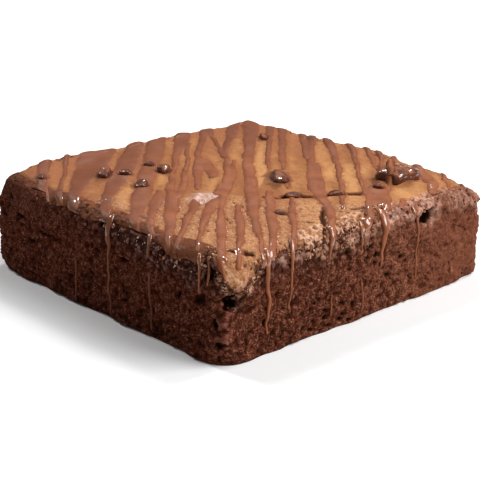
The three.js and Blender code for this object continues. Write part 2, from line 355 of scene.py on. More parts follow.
def skin_share(points):
    """Where a pale skin lies under the rim of the +X face, in patches."""
    x, y, z = points.T
    low = lerp(19.6, 17.8, smoothstep(y, 6, 30)) + 2 * ripple(points, 3.5, 43, 3)
    patches = smoothstep(ripple(points, 4.0, 41, 3) + 1.3 * smoothstep(y, -2, 14), 0.2, 0.9)
    return (x > 37) * smoothstep(z - low, -1, 1.3) * patches * (1 - 0.5 * smoothstep(y, 18, 34))


def soft_end(points):
    """The part of the +X face, towards its far end, where cookie and brownie baked into one."""
    return (points[:, 0] > FRONT) * smoothstep(points[:, 1], 5, 16)


def smooth_tip(points):
    """The -Y face's upper part towards the -X -Y corner, where the crumb is shut and smooth."""
    return (points[:, 1] < -30) * fades(points[:, 0], -28, -14) * smoothstep(points[:, 2], 16, 19.5)


def pressed_share(points):
    """Where the wall is smooth and shut: the far end of the +X face, the skin and the -X -Y corner's
    upper part."""
    far_end = (points[:, 0] > 38) * smoothstep(points[:, 1], 10, 30) * 0.7
    return np.maximum(np.maximum(far_end, skin_share(points) * 0.4), smooth_tip(points) * 1.2)


def moist_share(points, depth):
    """Where the crumb under the cookie is darker and glossier, with painted glints: most on -Y near the
    front corner.
    """
    x, y, _ = points.T
    elsewhere = np.where(x > FRONT, lerp(0.85, 0.25, smoothstep(y, -14, 8)), 0.4)
    share = np.where(y < -FRONT, lerp(0.2, 1, smoothstep(x, -4, 8)), elsewhere)
    return share * fades(depth + 1.2 * ripple(points, 4.0, 51), 1.5, 6.5)


def dusted_share(points, depth):
    """Where cookie crumb was pressed into the brownie, just under the cookie, along the +X face's middle
    and at the front corner."""
    x, y, _ = points.T
    corner = fades(y, -33.5, -30)
    share = (x > FRONT) * (span(y, -24, -17, 5, 11) + corner)
    reach = 2.6 + 3.2 * smoothstep(y, -20, -6) + 1.6 * corner
    return share * fades(depth + 0.8 * ripple(points, 2.4, 53), 0.8, reach)


u, v, turn = square_edge(BROWNIE_STATIONS)
edge = brownie_edge(turn)
rise = np.linspace(0, 1, BROWNIE_ROWS)[:, None]
z = rise * edge
below_edge = (edge - z).ravel()
wall = np.stack(bar_surface(u[None, :], v[None, :], wall_inset(z), z), axis=2)
flat_wall = wall.reshape(-1, 3)
slow, grains, pores = crumb_relief(flat_wall)
# The pits' edges are torn.
torn = flat_wall + 0.45 * ripple(flat_wall, 1.4, 37)[:, None]
pores = pores + hollows(*torn.T, PITS)
# The relief fades at the base and towards the upper edge, where the soft end swells.
fade = (smoothstep(rise, 0, 0.035) * (1 - 0.6 * smoothstep(rise, 0.97, 1)) * np.ones_like(z)).reshape(-1)
swollen = 0.5 * soft_end(flat_wall) * smoothstep(rise, 0.8, 0.97).repeat(BROWNIE_STATIONS)
relief = (slow + grains - pores) * fade + swollen
wall = (flat_wall + normals_of(wall).reshape(-1, 3) * relief[:, None]).reshape(wall.shape)

rings = [wall]
for share in (0.3, 0.6, 1.0):  # in under the cookie
    x, y, _, _ = outline(u, v, lerp(wall_inset(edge), CORE_INSET, share))
    rings.append(np.stack([x, y, lerp(edge, CORE_HEIGHT, smoothstep(share, 0, 1))], axis=1)[None])
under = [wall[:1] * np.array([share, share, 0]) for share in (0.35, 0.8, 0.97)]  # across the base
ring_points = np.concatenate([*under, *rings]).reshape(-1, 3)
ring_count = len(ring_points) // BROWNIE_STATIONS
points = np.vstack([ring_points, [[0, 0, 0], [0, 0, CORE_HEIGHT]]])
start = len(under) * BROWNIE_STATIONS


def on_wall(values):
    """Values at the wall's points, and zero at the points across the base and under the cookie."""
    return np.pad(values.ravel(), (start, len(points) - start - values.size))


x, y, _ = flat_wall.T
# Paler and smoother towards the far end of the +X face; below zero on the -Y face, which the material
# darkens as painted shade.
tone = np.where(x > 39, smoothstep(y, -24, 34), -1.0 * (y < -39))
brownie = make_piece(
    "brownie",
    points,
    ring_quads(ring_count, BROWNIE_STATIONS),
    end_fans(ring_count, BROWNIE_STATIONS, len(ring_points)),
    "brownie",
    pit_depth=on_wall(pores),
    grain_top=on_wall(grains),
    skin=on_wall(skin_share(flat_wall) * fades(pores, 0.1, 0.6)),
    ridge=on_wall(corner_ridge(flat_wall)),
    moist=on_wall(moist_share(flat_wall, below_edge)),
    dusted=on_wall(dusted_share(flat_wall, below_edge)),
    tone=on_wall(tone),
)
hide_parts("brownie_base")


class Signal:
    """An output of a material's nodes, on which sums add Math nodes."""

    def __init__(self, paint, socket):
        self.paint, self.socket = paint, socket

    def math(self, operation, a, b):
        """One Math node on two values, either of which may be a number."""
        return self.paint.add("ShaderNodeMath", {"operation": operation}, {0: a, 1: b})

    def __add__(self, other):
        return self.math("ADD", self, other)

    def __sub__(self, other):
        return self.math("SUBTRACT", self, other)

    def __rsub__(self, other):
        return self.math("SUBTRACT", other, self)

    def __mul__(self, other):
        return self.math("MULTIPLY", self, other)

    __radd__ = __add__
    __rmul__ = __mul__

    def between(self, low, high):
        """0 below low, 1 above high, and a smooth step between them."""
        limits = {"Value": self, "From Min": low, "From Max": high}
        return self.paint.add("ShaderNodeMapRange", {"interpolation_type": "SMOOTHSTEP"}, limits)

    def fades(self, low, high):
        """1 below low and 0 above high."""
        return 1 - self.between(low, high)


class Paint:
    """A procedural material under construction round its Principled shader, whose fixed values are given
    by name."""

    def __init__(self, name, **fixed):
        self.material = bpy.data.materials.new(name)
        self.material.use_nodes = True
        self.nodes, self.links = self.material.node_tree.nodes, self.material.node_tree.links
        self.shader = self.nodes["Principled BSDF"]
        for socket, value in fixed.items():
            self.shader.inputs[socket.replace("_", " ")].default_value = value
        self.place = self.add("ShaderNodeTexCoord", {}, {}, "Object")

    def add(self, kind, settings, inputs, output=0):
        """A node of that kind, with its settings, then its inputs by name or number, as a Signal of one
        output."""
        node = self.nodes.new(kind)
        for setting, value in settings.items():
            setattr(node, setting, value)
        for socket, value in inputs.items():
            self.feed(node.inputs[socket], value)
        return Signal(self, node.outputs[output])

    def feed(self, socket, value):
        """A link to the socket from a Signal, or else its fixed value."""
        if isinstance(value, Signal):
            self.links.new(value.socket, socket)
        else:
            socket.default_value = value

    def field(self, name):
        """What the mesh holds at each point under this name."""
        return self.add("ShaderNodeAttribute", {"attribute_name": name}, {}, "Fac")

    def noise(self, size_mm, detail=2.0, roughness=0.5, squeezed=(1, 1, 1)):
        """Cloudy noise with lumps of that size, made narrower along the axes that are squeezed."""
        place = self.add("ShaderNodeMapping", {}, {"Vector": self.place, "Scale": squeezed})
        inputs = {"Vector": place, "Scale": 1000 / size_mm, "Detail": detail, "Roughness": roughness}
        return self.add("ShaderNodeTexNoise", {}, inputs)

    def grain(self, size_mm):
        """The distance to the nearest of the points scattered one to a cell of that size."""
        inputs = {"Vector": self.place, "Scale": 1000 / size_mm}
        return self.add("ShaderNodeTexVoronoi", {}, inputs, "Distance")

    def layers(self, colour, *layers):
        """A colour that turns to each layer's colour in turn as that layer's share goes from 0 to 1."""
        for share, tint in layers:
            below, above = [end if isinstance(end, Signal) else (*end, 1) for end in (colour, tint)]
            colour = self.add("ShaderNodeMix", {"data_type": "RGBA"}, {0: share, 6: below, 7: above}, 2)
        return colour

    def bump(self, height, depth_mm):
        """A normal tilted as if the surface stood out by the height, times that depth."""
        return self.add("ShaderNodeBump", {}, {"Height": height, "Distance": depth_mm / 1000})

    def finish(self, piece, **varying):
        """Feeds the shader what varies over the piece, and gives the piece this material alone."""
        for socket, signal in varying.items():
            self.feed(self.shader.inputs[socket.replace("_", " ")], signal)
        piece.data.materials.clear()
        piece.data.materials.append(self.material)


crumb = Paint("brownie_crumb", IOR=1.45, Specular_IOR_Level=0.1, Specular_Tint=(1, 0.6, 0.45, 1))
fine = crumb.noise(0.5, 3, 0.7, squeezed=(1, 1, 1.3))
cloud = crumb.noise(5.0, 3, 0.55)
lumpy = crumb.noise(1.0, 3, 0.6)
streaks = crumb.noise(3.6, 3, 0.6, squeezed=(1, 1, 2.4))
grain_top = crumb.field("grain_top")
skin_patch = crumb.field("skin") * (0.3 + crumb.noise(1.2, 3, 0.65).between(0.4, 0.6) * 0.65)
tone = crumb.field("tone")
moist = crumb.field("moist")
dusted = crumb.field("dusted") * lumpy.between(0.4, 0.55) * grain_top.between(-0.2, 0.1)
pitted = (crumb.field("pit_depth") - crumb.field("skin") * 0.35).between(0.2, 1.0)
minus_y_shade = (tone * -1).between(0, 1)
open_crumb = 1 - tone.between(0.7, 1) * 0.5
painted_grain_light = fine.between(0.5, 0.62) * grain_top.between(-0.2, 0.25) * (0.85 - minus_y_shade * 0.15) * open_crumb
raised = grain_top.between(-0.1, 0.2)
pale_spots = crumb.noise(2.6, 3, 0.6).between(0.38, 0.56)
skin_colour = crumb.layers((0.32, 0.13, 0.078), (pale_spots, (0.64, 0.36, 0.265)))
colour = crumb.layers(
    (0.084, 0.0215, 0.0095),
    (cloud.between(0.3, 0.7), (0.13, 0.0365, 0.018)),
    # Paler towards the far end of the +X face; darker and redder on the -Y face as painted shade.
    (tone.between(0, 0.75) * 0.53, (0.25, 0.085, 0.045)),
    (minus_y_shade * 0.75, (0.084, 0.0165, 0.0065)),
    # Painted light on the grains' tops, and painted shade between them and in their hollows.
    (painted_grain_light, (0.37, 0.16, 0.108)),
    (fine.fades(0.36, 0.5) * 0.9 * open_crumb, (0.026, 0.0044, 0.0015)),
    (grain_top.fades(-0.3, 0.0) * 0.82 * open_crumb, (0.017, 0.003, 0.001)),
    (streaks.fades(0.34, 0.46) * open_crumb * 0.42, (0.022, 0.0042, 0.0015)),
    # Painted light on the sharp corner's raised grains, where light from the right catches them.
    (crumb.field("ridge") * raised * 0.5, (0.26, 0.085, 0.062)),
    # Darker and glossier just under the cookie, with a painted sheen on the raised grains and painted
    # glints as pale specks.
    (moist * 0.8, (0.029, 0.0066, 0.0032)),
    (moist * raised * lumpy.between(0.46, 0.58) * 0.8, (0.3, 0.145, 0.12)),
    (moist * crumb.noise(0.62, 1).between(0.71, 0.76), (0.8, 0.62, 0.56)),
    (dusted * 0.75, (0.5, 0.26, 0.16)),
    (skin_patch, skin_colour),
    # Painted shade in the pores and pits.
    (pitted * 0.92, (0.009, 0.0021, 0.0009)),
)
bump = crumb.bump(fine, 0.42)
wet = moist * lumpy.between(0.5, 0.6) * 0.6 + skin_patch * 0.3
crumb.finish(brownie, Base_Color=colour, Roughness=0.92 - wet * (1 - pitted), Normal=bump)


# ----------------------------------------
# The cookie layer. Cookie dough baked on top of the brownie: golden, a little crazed, with a grainy face
# towards the +X -Y corner, where it slumped over the edge. Rings of points climb its edge, and a square
# grid covers its top.

TOP_CELLS = 110  # grid cells from the middle to each side
COOKIE_STATIONS = 8 * TOP_CELLS
COOKIE_ROWS = 23


def diagonals(x, y):
    """A place on the bar's diagonals: across, towards the +X +Y corner, and along, towards the +X -Y
    corner."""
    return (x + y) * math.sqrt(0.5), (x - y) * math.sqrt(0.5)


def point_normals(points, quads):
    """The normal at each point: the sum of the crossed diagonals of the faces that meet there."""
    face = np.cross(points[quads[:, 2]] - points[quads[:, 0]], points[quads[:, 3]] - points[quads[:, 1]])
    total = np.zeros_like(points)
    for corner in range(4):
        for axis in range(3):
            total[:, axis] += np.bincount(quads[:, corner], face[:, axis], len(points))
    return total / np.maximum(np.linalg.norm(total, axis=1, keepdims=True), 1e-9)


def cookie_skin():
    """The cookie's outside before its crumb: rings from its lower edge over the shoulder, then the top's
    square grid inside the last ring. Gives the points, the faces, and the height over the cookie's
    edge."""
    u, v, turn = square_edge(COOKIE_STATIONS)
    low = brownie_edge(turn) + GAP
    share = np.sin(np.linspace(0, np.pi / 2, COOKIE_ROWS))[:, None]
    z = lerp(low, HEIGHT, share)
    rings = np.stack(bar_surface(u[None, :], v[None, :], wall_inset(z), z), axis=2).reshape(-1, 3)
    step = np.arange(1, 2 * TOP_CELLS) / TOP_CELLS - 1
    gu, gv = [part.ravel() for part in np.meshgrid(step, step, indexing="ij")]
    reach = np.maximum(np.abs(gu), np.abs(gv))
    inset = lerp(SIDE / 2, wall_inset(HEIGHT), reach)
    reach = np.maximum(reach, 1e-9)
    inner = np.stack(bar_surface(gu / reach, gv / reach, inset, np.full_like(inset, HEIGHT)), axis=1)
    number = np.zeros((2 * TOP_CELLS + 1, 2 * TOP_CELLS + 1), np.int64)
    number[1:-1, 1:-1] = len(rings) + np.arange(len(inner)).reshape(2 * TOP_CELLS - 1, -1)
    last = (COOKIE_ROWS - 1) * COOKIE_STATIONS + np.arange(COOKIE_STATIONS)
    number[np.rint((u + 1) * TOP_CELLS).astype(int), np.rint((v + 1) * TOP_CELLS).astype(int)] = last
    corners = [number[:-1, :-1], number[1:, :-1], number[1:, 1:], number[:-1, 1:]]
    top = np.stack(corners, axis=2).reshape(-1, 4)
    over_edge = np.concatenate([(z - low).ravel(), np.full(len(inner), 9.0)])
    quads = np.vstack([ring_quads(COOKIE_ROWS, COOKIE_STATIONS), top])
    return np.vstack([rings, inner]), quads, over_edge


skin, skin_quads, over_edge = cookie_skin()
skin_normals = point_normals(skin, skin_quads)
x, y, _ = skin.T
across, along = diagonals(x, y)
# The grainy face: all of the edge, and the top towards the +X -Y corner.
grainy = np.maximum(smoothstep(along + 2.5 * ripple(skin, 8.0, 60), 12, 24), fades(over_edge, 1.5, 5.5))
# The edge towards the -X -Y corner is browned and smooth.
tip = (y < -RIM) * fades(x, -24, -6)
# Nearer the front corner that edge carries a smooth brown ribbon.
ribbon = (y < -RIM) * span(x, 3, 11, 33, 38) * fades(over_edge, 2.3, 3.4)
grainy = grainy * (1 - 0.9 * np.maximum(tip, ribbon))
blended = soft_end(skin)
# The lower lip stands out over the brownie, in lobes.
lip = (0.5 + 0.3 * ripple(skin, 5.0, 61)) * fades(over_edge, 0.2, 3.2)
lip = lip * smoothstep(over_edge, -0.4, 0.5) * (1 - 0.8 * np.maximum(blended, tip))
swells = 0.22 * ripple(skin, 9.0, 62) + 0.1 * ripple(skin, 3.2, 64) + lip
CHUNKS = [  # length, width, height and turn in degrees
    ((10.4, 7.4, 6.8), 90), ((9, 5.4, 4.8), -38), ((4.8, 2.8, 3.4), 45), ((4.2, 3.2, 3.8), 45),
    ((3.8, 3, 4), -45), ((3.2, 2.9, 3.2), 45), ((6.4, 3.4, 4.4), -45), ((3.7, 3.2, 3.6), 45),
    ((4.4, 3.4, 3.8), -50), ((4.8, 3.6, 4.2), -40), ((2.9, 2.5, 2.8), 45), ((2.9, 2.6, 2.8), 30),
    ((5, 3, 3.8), -45),
]
# A patch where sugar and butter dried pale and shiny; its pale colour is partly a painted highlight.
sugar_and_sheen = np.hypot((across + 6.8) / 4, (along - 17.6) / 6) + 0.2 * ripple(skin, 2.6, 96)
sugar_and_sheen = fades(sugar_and_sheen, 0.5, 1)
swells = swells + 0.4 * sugar_and_sheen * ripple(skin, 1.7, 99)
over_chunks = np.zeros(len(skin))  # how far the chocolate over the biggest chunk stands above the dough
bare = np.zeros(len(skin))  # where the others and the sugary patch stick out of the chocolate
# The stain array also takes painted shade beside the folds, added below.
stain_and_crease_shade = np.zeros(len(skin))  # where they melted into the dough


def turn_matrix(degrees):
    """The matrix that turns rows of points about the upright axis by minus the angle, or transposed, by
    the angle."""
    cos, sin = math.cos(math.radians(degrees)), math.sin(math.radians(degrees))
    return np.array([[cos, -sin, 0], [sin, cos, 0], [0, 0, 1]])


def solid_box(node):
    """A solid's lowest and highest corners, in millimetres."""
    return [np.array(corner) * 1000 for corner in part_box(node)]


melted_edge, stained_edge = 0.15 * ripple(skin, 2.0, 88), 0.35 * ripple(skin, 1.6, 89)
for number, (size, turned) in enumerate(CHUNKS, 1):
    low_corner, high_corner = solid_box(f"chocolate_chunk_{number:02d}")
    away = (skin - (low_corner + high_corner) / 2) @ turn_matrix(turned)
    share = np.linalg.norm(away[:, :2] / np.array(size[:2]) * 2, axis=1)
    beyond = (share - 1) * min(size[:2]) / 2
    # The dough swelled up round each chunk, and laps onto it.
    proud = high_corner[2] - skin[:, 2]
    swells = swells + 0.22 * proud * np.exp(-((beyond / 1.1) ** 2)) * (over_edge > 1)
    if number == 1:
        over_chunks = (proud + 0.9) * fades(share, 0.7, 1.45)
    else:
        bare = np.maximum(bare, fades(share + melted_edge, 0.85, 1.2))
    stain_and_crease_shade = np.maximum(stain_and_crease_shade, fades(share + stained_edge, 0.95, 1.7))
# The -Y edge browned some way onto the top.
inward = SIDE / 2 + y + 1.5 * ripple(skin, 3.5, 67)
browned = span(x, -36, -24, 4, 14) * fades(inward, 4.5, 8)
stain_and_crease_shade = np.maximum(stain_and_crease_shade, 0.75 * browned)
# The dough rose in a mound before the biggest one.
mound = np.exp(-(((across - 44.5) / 4) ** 2) - ((along - 5.5) / 3.6) ** 2)
swells = swells + 0.7 * mound * (over_edge > 1)
CREASES = [  # folds and splits in the dough: across and along at each end, half-width, depth
    ((7, 17.2), (12, 16.2), 0.8, 0.5), ((12, 15.4), (18, 15.6), 1.3, 1.1),
    ((18, 15.6), (22, 14.2), 1.2, 1.0), ((25, 13), (30, 12.4), 1.3, 0.8),
    ((17.4, -18), (17.9, -12), 1.0, 0.6), ((20.9, 23), (20.3, 28), 0.5, 0.9),
    ((20.3, 28), (20.8, 34), 0.65, 1.0), ((20.8, 34), (20.4, 43), 0.5, 0.8),
    ((-0.4, 53.1), (2.6, 53), 0.6, 0.9), ((2.6, 53), (5.4, 52), 0.5, 0.9),
    ((26, 37), (30, 36), 0.8, 0.6), ((13, 33.5), (18, 33), 0.6, 0.5), ((27, 24), (31, 22.4), 0.8, 0.5),
    ((35, -9), (35.2, -1.6), 1.1, 0.9),
]
droop = (0.45 + 0.25 * tip + 0.3 * ripple(skin, 2.6, 66)) * fades(over_edge, 0, 1.4)
skin = skin + skin_normals * swells[:, None] - np.array([0, 0, 1]) * droop[:, None]
x, y, _ = skin.T
grit = 0.2 * (0.5 - nearest_grain(skin, 0.95, 65)) * (0.35 + grainy) + 0.1 * ripple(skin, 1.5, 68)
holes = (grainy * 0.8 + 0.2) * (1 - 0.8 * ribbon) * fades(nearest_grain(skin, 2.3, 70), 0.1, 0.3)
grit = grit - 0.5 * holes
crack = np.abs(ripple(skin * np.array([1, 1, 1.6]), 6.5, 74, 3))
cracked = grainy * smoothstep(ripple(skin, 12.0, 77), 0.0, 0.5)
crack_depth = 0.7 * fades(crack, 0.015, 0.075) * cracked
creased = np.zeros(len(skin))
frayed = 0.35 * ripple(skin, 1.8, 78)
for (across_0, along_0), (across_1, along_1), wide, deep in CREASES:
    run_across, run_along = across_1 - across_0, along_1 - along_0
    reach = (across - across_0) * run_across + (along - along_0) * run_along
    reach = np.clip(reach / (run_across**2 + run_along**2), 0, 1)
    off = np.hypot(across - lerp(across_0, across_1, reach), along - lerp(along_0, along_1, reach)) + frayed
    creased = np.maximum(creased, deep * fades(off / wide, 0.2, 1))
    # Painted shade beside each fold.
    stain_and_crease_shade = np.maximum(stain_and_crease_shade, 1.3 * deep * fades(off / wide, 0.6, 1.3))
# Broken crumb along the middle of the +X face's rim, and on the tongue at the front corner.
broken = (x > RIM) * span(y, -26, -14, 10, 16)
broken = np.maximum(broken, 0.45 * smoothstep(along, 55, 57))
broken = broken * fades(over_edge + ripple(skin, 3.0, 79), 2.5, 5.5)
broken_pits = broken * fades(nearest_grain(skin, 1.5, 81), 0.15, 0.4)
crack_depth = crack_depth + creased + 0.55 * broken_pits
# How deep the cracks, folds and holes lie, for the painted shade in them.
hollowed = crack_depth - 0.3 * broken_pits + 0.5 * holes * (1 - 0.6 * broken)
cookie_face = skin + skin_normals * (grit - crack_depth)[:, None]

# The chocolate's passes come before its own section, because the film beside them colours the dough.
PASSES = [  # each from back to front: along the diagonal, across it, width
    [(-16, -48.5, 3.5), (-8, -48.3, 3.6), (0, -47.6, 3.2), (6, -46.6, 2.6), (12, -45.4, 2.2),
     (18, -44.2, 2), (26, -43, 1.4)],
    [(-18, -43.6, 2), (-10, -43.2, 1.5), (0, -42.4, 1.2), (8, -42, 1.4), (16, -41, 1.8), (24, -40, 1.6)],
    [(-26, -36.4, 7.8), (-18, -36.4, 8.4), (-10, -36.6, 8.4), (-2, -37, 7), (6, -37.2, 5.4),
     (12, -37.4, 4), (18, -37, 3.2), (26, -36.2, 2.4), (34, -35.2, 1.4)],
    [(-34, -28.3, 3.6), (-26, -28.2, 4.8), (-20, -28, 5), (-14, -28, 5.4), (-8, -28.2, 5.6),
     (0, -28.6, 5.6), (8, -28.8, 4.6), (14, -29, 3.6), (20, -28.9, 2.8), (27, -28.2, 2.4),
     (33, -27.4, 2), (40, -26.4, 1.4)],
    [(-38, -23.4, 4.8), (-30, -22.8, 5.4), (-20, -22.4, 5.2), (-13, -22.2, 4.8), (-7, -22.2, 4.6),
     (0, -22, 4.8), (6, -21.8, 4.4), (12, -21.4, 4.2), (17, -21.5, 4.4), (24, -21.3, 3.8),
     (30, -21, 2.8), (36, -20.6, 2.4), (44, -20, 1.6)],
    [(12, -17.8, 1.6), (17, -17.6, 3), (23, -17.6, 2.8), (29, -17.6, 2.2), (36, -17.2, 1.8),
     (44, -16.4, 1.2)],
    [(-46, -16.6, 4.4), (-36, -16.5, 4.6), (-28, -16.2, 4), (-20, -16.6, 2.4), (-12, -16.2, 1.8),
     (-4, -15.9, 1.7), (4, -15.6, 1.8), (10, -15.2, 2.4), (15, -14.4, 3), (20, -13.8, 3.4),
     (26, -13.5, 3.2), (32, -13.3, 2.8), (38, -13.1, 2.2), (44, -12.7, 1.6), (50, -12.3, 1)],
    [(-30, -14.6, 1.4), (-22, -13.9, 1.4), (-14, -13.2, 1.4), (-6, -12.9, 1.5), (4, -12.6, 1.8),
     (12, -12.2, 2.2), (17, -12.6, 2)],
    [(-50, -10.8, 3), (-42, -10.9, 2.8), (-34, -11, 2), (-26, -11, 1.6), (-18, -10.8, 1.8),
     (-12, -10.3, 2.6), (-4, -9.8, 2.8), (3, -9.4, 2), (10, -9, 1.4)],
    [(-14, -9.2, 2.4), (-9, -7.8, 3.4), (-4, -6.8, 3), (2, -5.6, 1.8)],
    [(-48, -9.8, 2), (-40, -9.1, 1.8), (-34, -7.8, 1.5), (-28, -6.3, 1.4), (-22, -5, 1.4),
     (-15, -3.7, 1.6)],
    [(-54, -3.2, 4.2), (-44, -3.2, 3.8), (-34, -3.7, 2.6), (-26, -4, 2), (-16, -3.6, 1.8), (-8, -3, 2),
     (0, -2.6, 2), (8, -2.2, 2.6), (14, -2.2, 2.6), (20, -2.4, 2), (27, -2.3, 1.6), (32, -1.9, 2),
     (38, -1.4, 2.3), (45, -1, 2.2), (52, -0.7, 1.8), (60, -0.5, 1.4), (68, -0.4, 1.2)],
    [(-12, -1.4, 1.2), (0, -1, 1.6), (8, -0.9, 1.6), (14, -1.2, 1)],
    [(-58, 1.4, 5), (-44, 1.5, 5), (-34, 1.7, 3.4), (-24, 1.9, 3), (-12, 2.3, 2.8), (-2, 2.7, 2.8),
     (8, 3.7, 3.4), (16, 4.4, 3.4), (22, 4.9, 3.2), (28, 5, 2.6), (34, 5.8, 2), (40, 6.6, 1.6),
     (47, 7.4, 1.2), (54, 8, 0.9)],
    [(-54, 6.8, 3), (-42, 6.7, 2.4), (-32, 6.8, 1.8), (-22, 6.9, 1.6), (-12, 7.2, 1.4), (-6, 7.5, 1)],
    [(-54, 10, 3.4), (-42, 10.2, 2.8), (-32, 10.4, 2.3), (-20, 10.5, 2.2), (-12, 10.8, 2),
     (-7, 11.2, 1.2)],
    [(-4, 12, 1.4), (2, 12.2, 1.6), (8, 12.6, 1)],
    [(12, 8.2, 1.8), (18, 8.5, 2.2), (26, 8.9, 2.5), (32, 9.2, 2.4), (38, 9.6, 2), (44, 9.7, 1.7),
     (50, 9.7, 1.4), (58, 9.7, 1.2), (66, 9.7, 0.9)],
    [(-52, 15, 2.4), (-40, 15.8, 2.2), (-28, 16.3, 1.7), (-18, 16.5, 1.2)],
    [(-50, 18.2, 3), (-36, 18.2, 2.8), (-26, 18, 2.2), (-16, 18, 2.1), (-8, 18.3, 2.6), (0, 18.6, 3.4),
     (6, 18.9, 3.4), (12, 19.4, 2.8), (17, 20.4, 2.6), (22, 21.9, 2.2), (28, 22.3, 2), (34, 22.4, 1.8),
     (42, 22.4, 1.3), (50, 22.3, 1)],
    [(-12, 19.8, 0.9), (-2, 20.4, 1), (8, 20.9, 1.1), (14, 21, 1)],
    [(-46, 21.6, 3), (-36, 22.2, 3), (-28, 23.4, 2.6), (-18, 24.3, 2), (-8, 24.7, 1.6), (2, 25, 1.4),
     (10, 25.2, 1.5), (16, 25.3, 1.6), (21, 25.3, 1.1)],
    [(-44, 26.2, 2), (-34, 27.2, 2.1), (-25, 28.5, 1.8), (-16, 29, 1.6), (-6, 29.5, 1.4),
     (4, 29.8, 1.3), (12, 30.4, 1.2)],
    [(-42, 30.6, 1.8), (-30, 31.5, 1.8), (-22, 32.4, 1.7), (-15, 33.2, 1.6), (-9, 33.8, 1.1)],
    [(-38, 34.2, 2), (-26, 35, 2), (-18, 35.5, 1.5), (-10, 35.6, 1.2), (-3, 35.6, 1)],
    [(-32, 38.6, 1.6), (-18, 38.7, 1.1), (-10, 38.1, 1), (-3, 37.2, 1), (5, 36.6, 1), (9, 36.2, 1.4)],
    [(10, 33.4, 5.8), (15, 33.4, 6), (19, 33.6, 4)],
    [(16, 31.4, 1.8), (22, 31.2, 1.5), (28, 31, 1.3), (34, 30.8, 1)],
    [(14, 35.4, 2.6), (20, 35.2, 2.2), (27, 35.1, 1.6), (34, 35, 1.3)],
    [(-26, 42.8, 2.6), (-14, 43.8, 2.4), (-7, 45, 2.2), (-1, 46.4, 3.2), (4, 46.8, 3.4), (9, 46.6, 2.4)],
    [(-12, 50, 1.2), (0, 50.6, 1.4), (6, 51.4, 1.2)],
    [(15, 39.5, 1.8), (20, 38.6, 2)],
    [(15, -7.4, 1.6), (20, -8.6, 2.5), (26, -9, 2.4), (32, -9.4, 2), (38, -9.9, 1.5), (44, -10.3, 1.2),
     (50, -10.6, 0.9)],
    [(8, -3.6, 1.4), (14, -4, 2), (20, -4.7, 3.2), (26, -4.9, 3.3), (32, -5.3, 2.4), (38, -5.7, 1.7),
     (45, -5.7, 1.3), (52, -5.6, 1)],
    [(23, 1.4, 1.2), (29, 2, 1.9), (34, 2.6, 2.2), (40, 2.9, 2), (46, 2.8, 1.7), (53, 2.8, 1.4),
     (59, 2.8, 1)],
    [(16, 13.6, 1.2), (21, 13.5, 1.8), (27, 13.6, 2.1), (33, 13.9, 1.8), (39, 14, 1.2), (46, 14, 1),
     (54, 14, 0.9)],
]
# Where chocolate left a thin film, or below zero the dough is bright: across, along, half-widths, share.
SMEARS = [
    (-8, -46, 17, 16, 0.9), (6, -48, 8, 12, 0.8), (-8.8, -18, 4.2, 18, 0.75), (-17.5, 21, 2.2, 9, 0.6),
    (-40, -16, 9, 16, 0.75), (-36, 4, 7, 14, 0.5), (-47, 2, 5, 14, 0.6), (-24, -10, 6, 18, 0.5),
    (15, -30, 4, 14, 0.5), (30, -22, 7, 14, 0.4), (44, 0, 6, 8, 0.3), (5.5, 18, 3, 9, 0.35),
    (13, 14, 4, 5, 0.4), (38, -12, 4, 6, 0.3), (-12, 6, 5, 12, 0.4), (9, 10, 3, 7, 0.3),
    (18, 2, 4, 10, 0.3), (27, -4, 6, 11, -0.8), (47, 0, 4, 6, -0.5), (-44, 16, 6, 6, 0.5),
    (-13.4, 43, 3.2, 4.5, 1.1), (-9, 49.4, 3, 4, 1.1), (-17, 38.4, 2, 3, 0.8),
    (-13.2, -30, 1, 12, -0.4), (-18.7, -6, 1.5, 18, -0.3), (-5.5, 10, 1.2, 11, -0.5),
    (-1.4, -22, 1.3, 14, -0.2), (5.2, -10, 1.5, 24, -1), (-24.8, 17, 2.4, 8, -0.6),
    (-27, 29, 5, 4, 0.7), (-18.6, 31, 2.4, 5, 0.5), (-33.5, 21, 3.4, 5, 0.8), (-7, -15, 1.4, 5, -0.4),
    (42, 10, 5, 6, -0.6), (-5, 44, 8, 10, -0.6), (17, 27, 5, 8, -0.6), (6, 42, 3, 8, -0.7),
    (27, 10, 3, 8, -0.5), (33, -14, 1.6, 8, -0.4),
]
FILM = 1.2  # how far chocolate soaked into the dough beside a pass
PASS_STEP = 0.5


def evened(values, reach):
    """Each value's mean with its neighbours, as many on either side as the reach, weighted by a bell."""
    bell = np.hanning(2 * reach + 1)
    return np.convolve(np.pad(values, reach, mode="edge"), bell / bell.sum(), "valid")


def pass_middle(stations, along):
    """One pass's middle and half-width at places along the diagonal, going smoothly from station to
    station, and how far those places lie beyond its ends."""
    at, middle, width = np.array(stations, float).T
    fine = np.arange(at[0], at[-1] + PASS_STEP, PASS_STEP)
    middle, width = [evened(np.interp(fine, at, values), 7) for values in (middle, width)]
    beyond = np.maximum(np.maximum(at[0] - along, along - at[-1]), 0)
    return np.interp(along, fine, middle), np.interp(along, fine, width) / 2, beyond


# Down the walls a pass goes on as if the wall were laid level with the top.
facing = np.clip((x - y) / 16, -1, 1)
run = along + facing * (HEIGHT - np.minimum(skin[:, 2], HEIGHT))
wander = 0.35 * ripple(skin, 6.0, 90)
ragged = 0.13 * ripple(skin, 1.8, 91)
film = np.zeros(len(skin))
strokes = []
for stations in PASSES:
    middle, half, beyond = pass_middle(stations, run)
    off = np.hypot(across + wander - middle, beyond) + ragged
    film = np.maximum(film, smoothstep(half + FILM - off, 0, FILM))
    strokes.append((off, half))
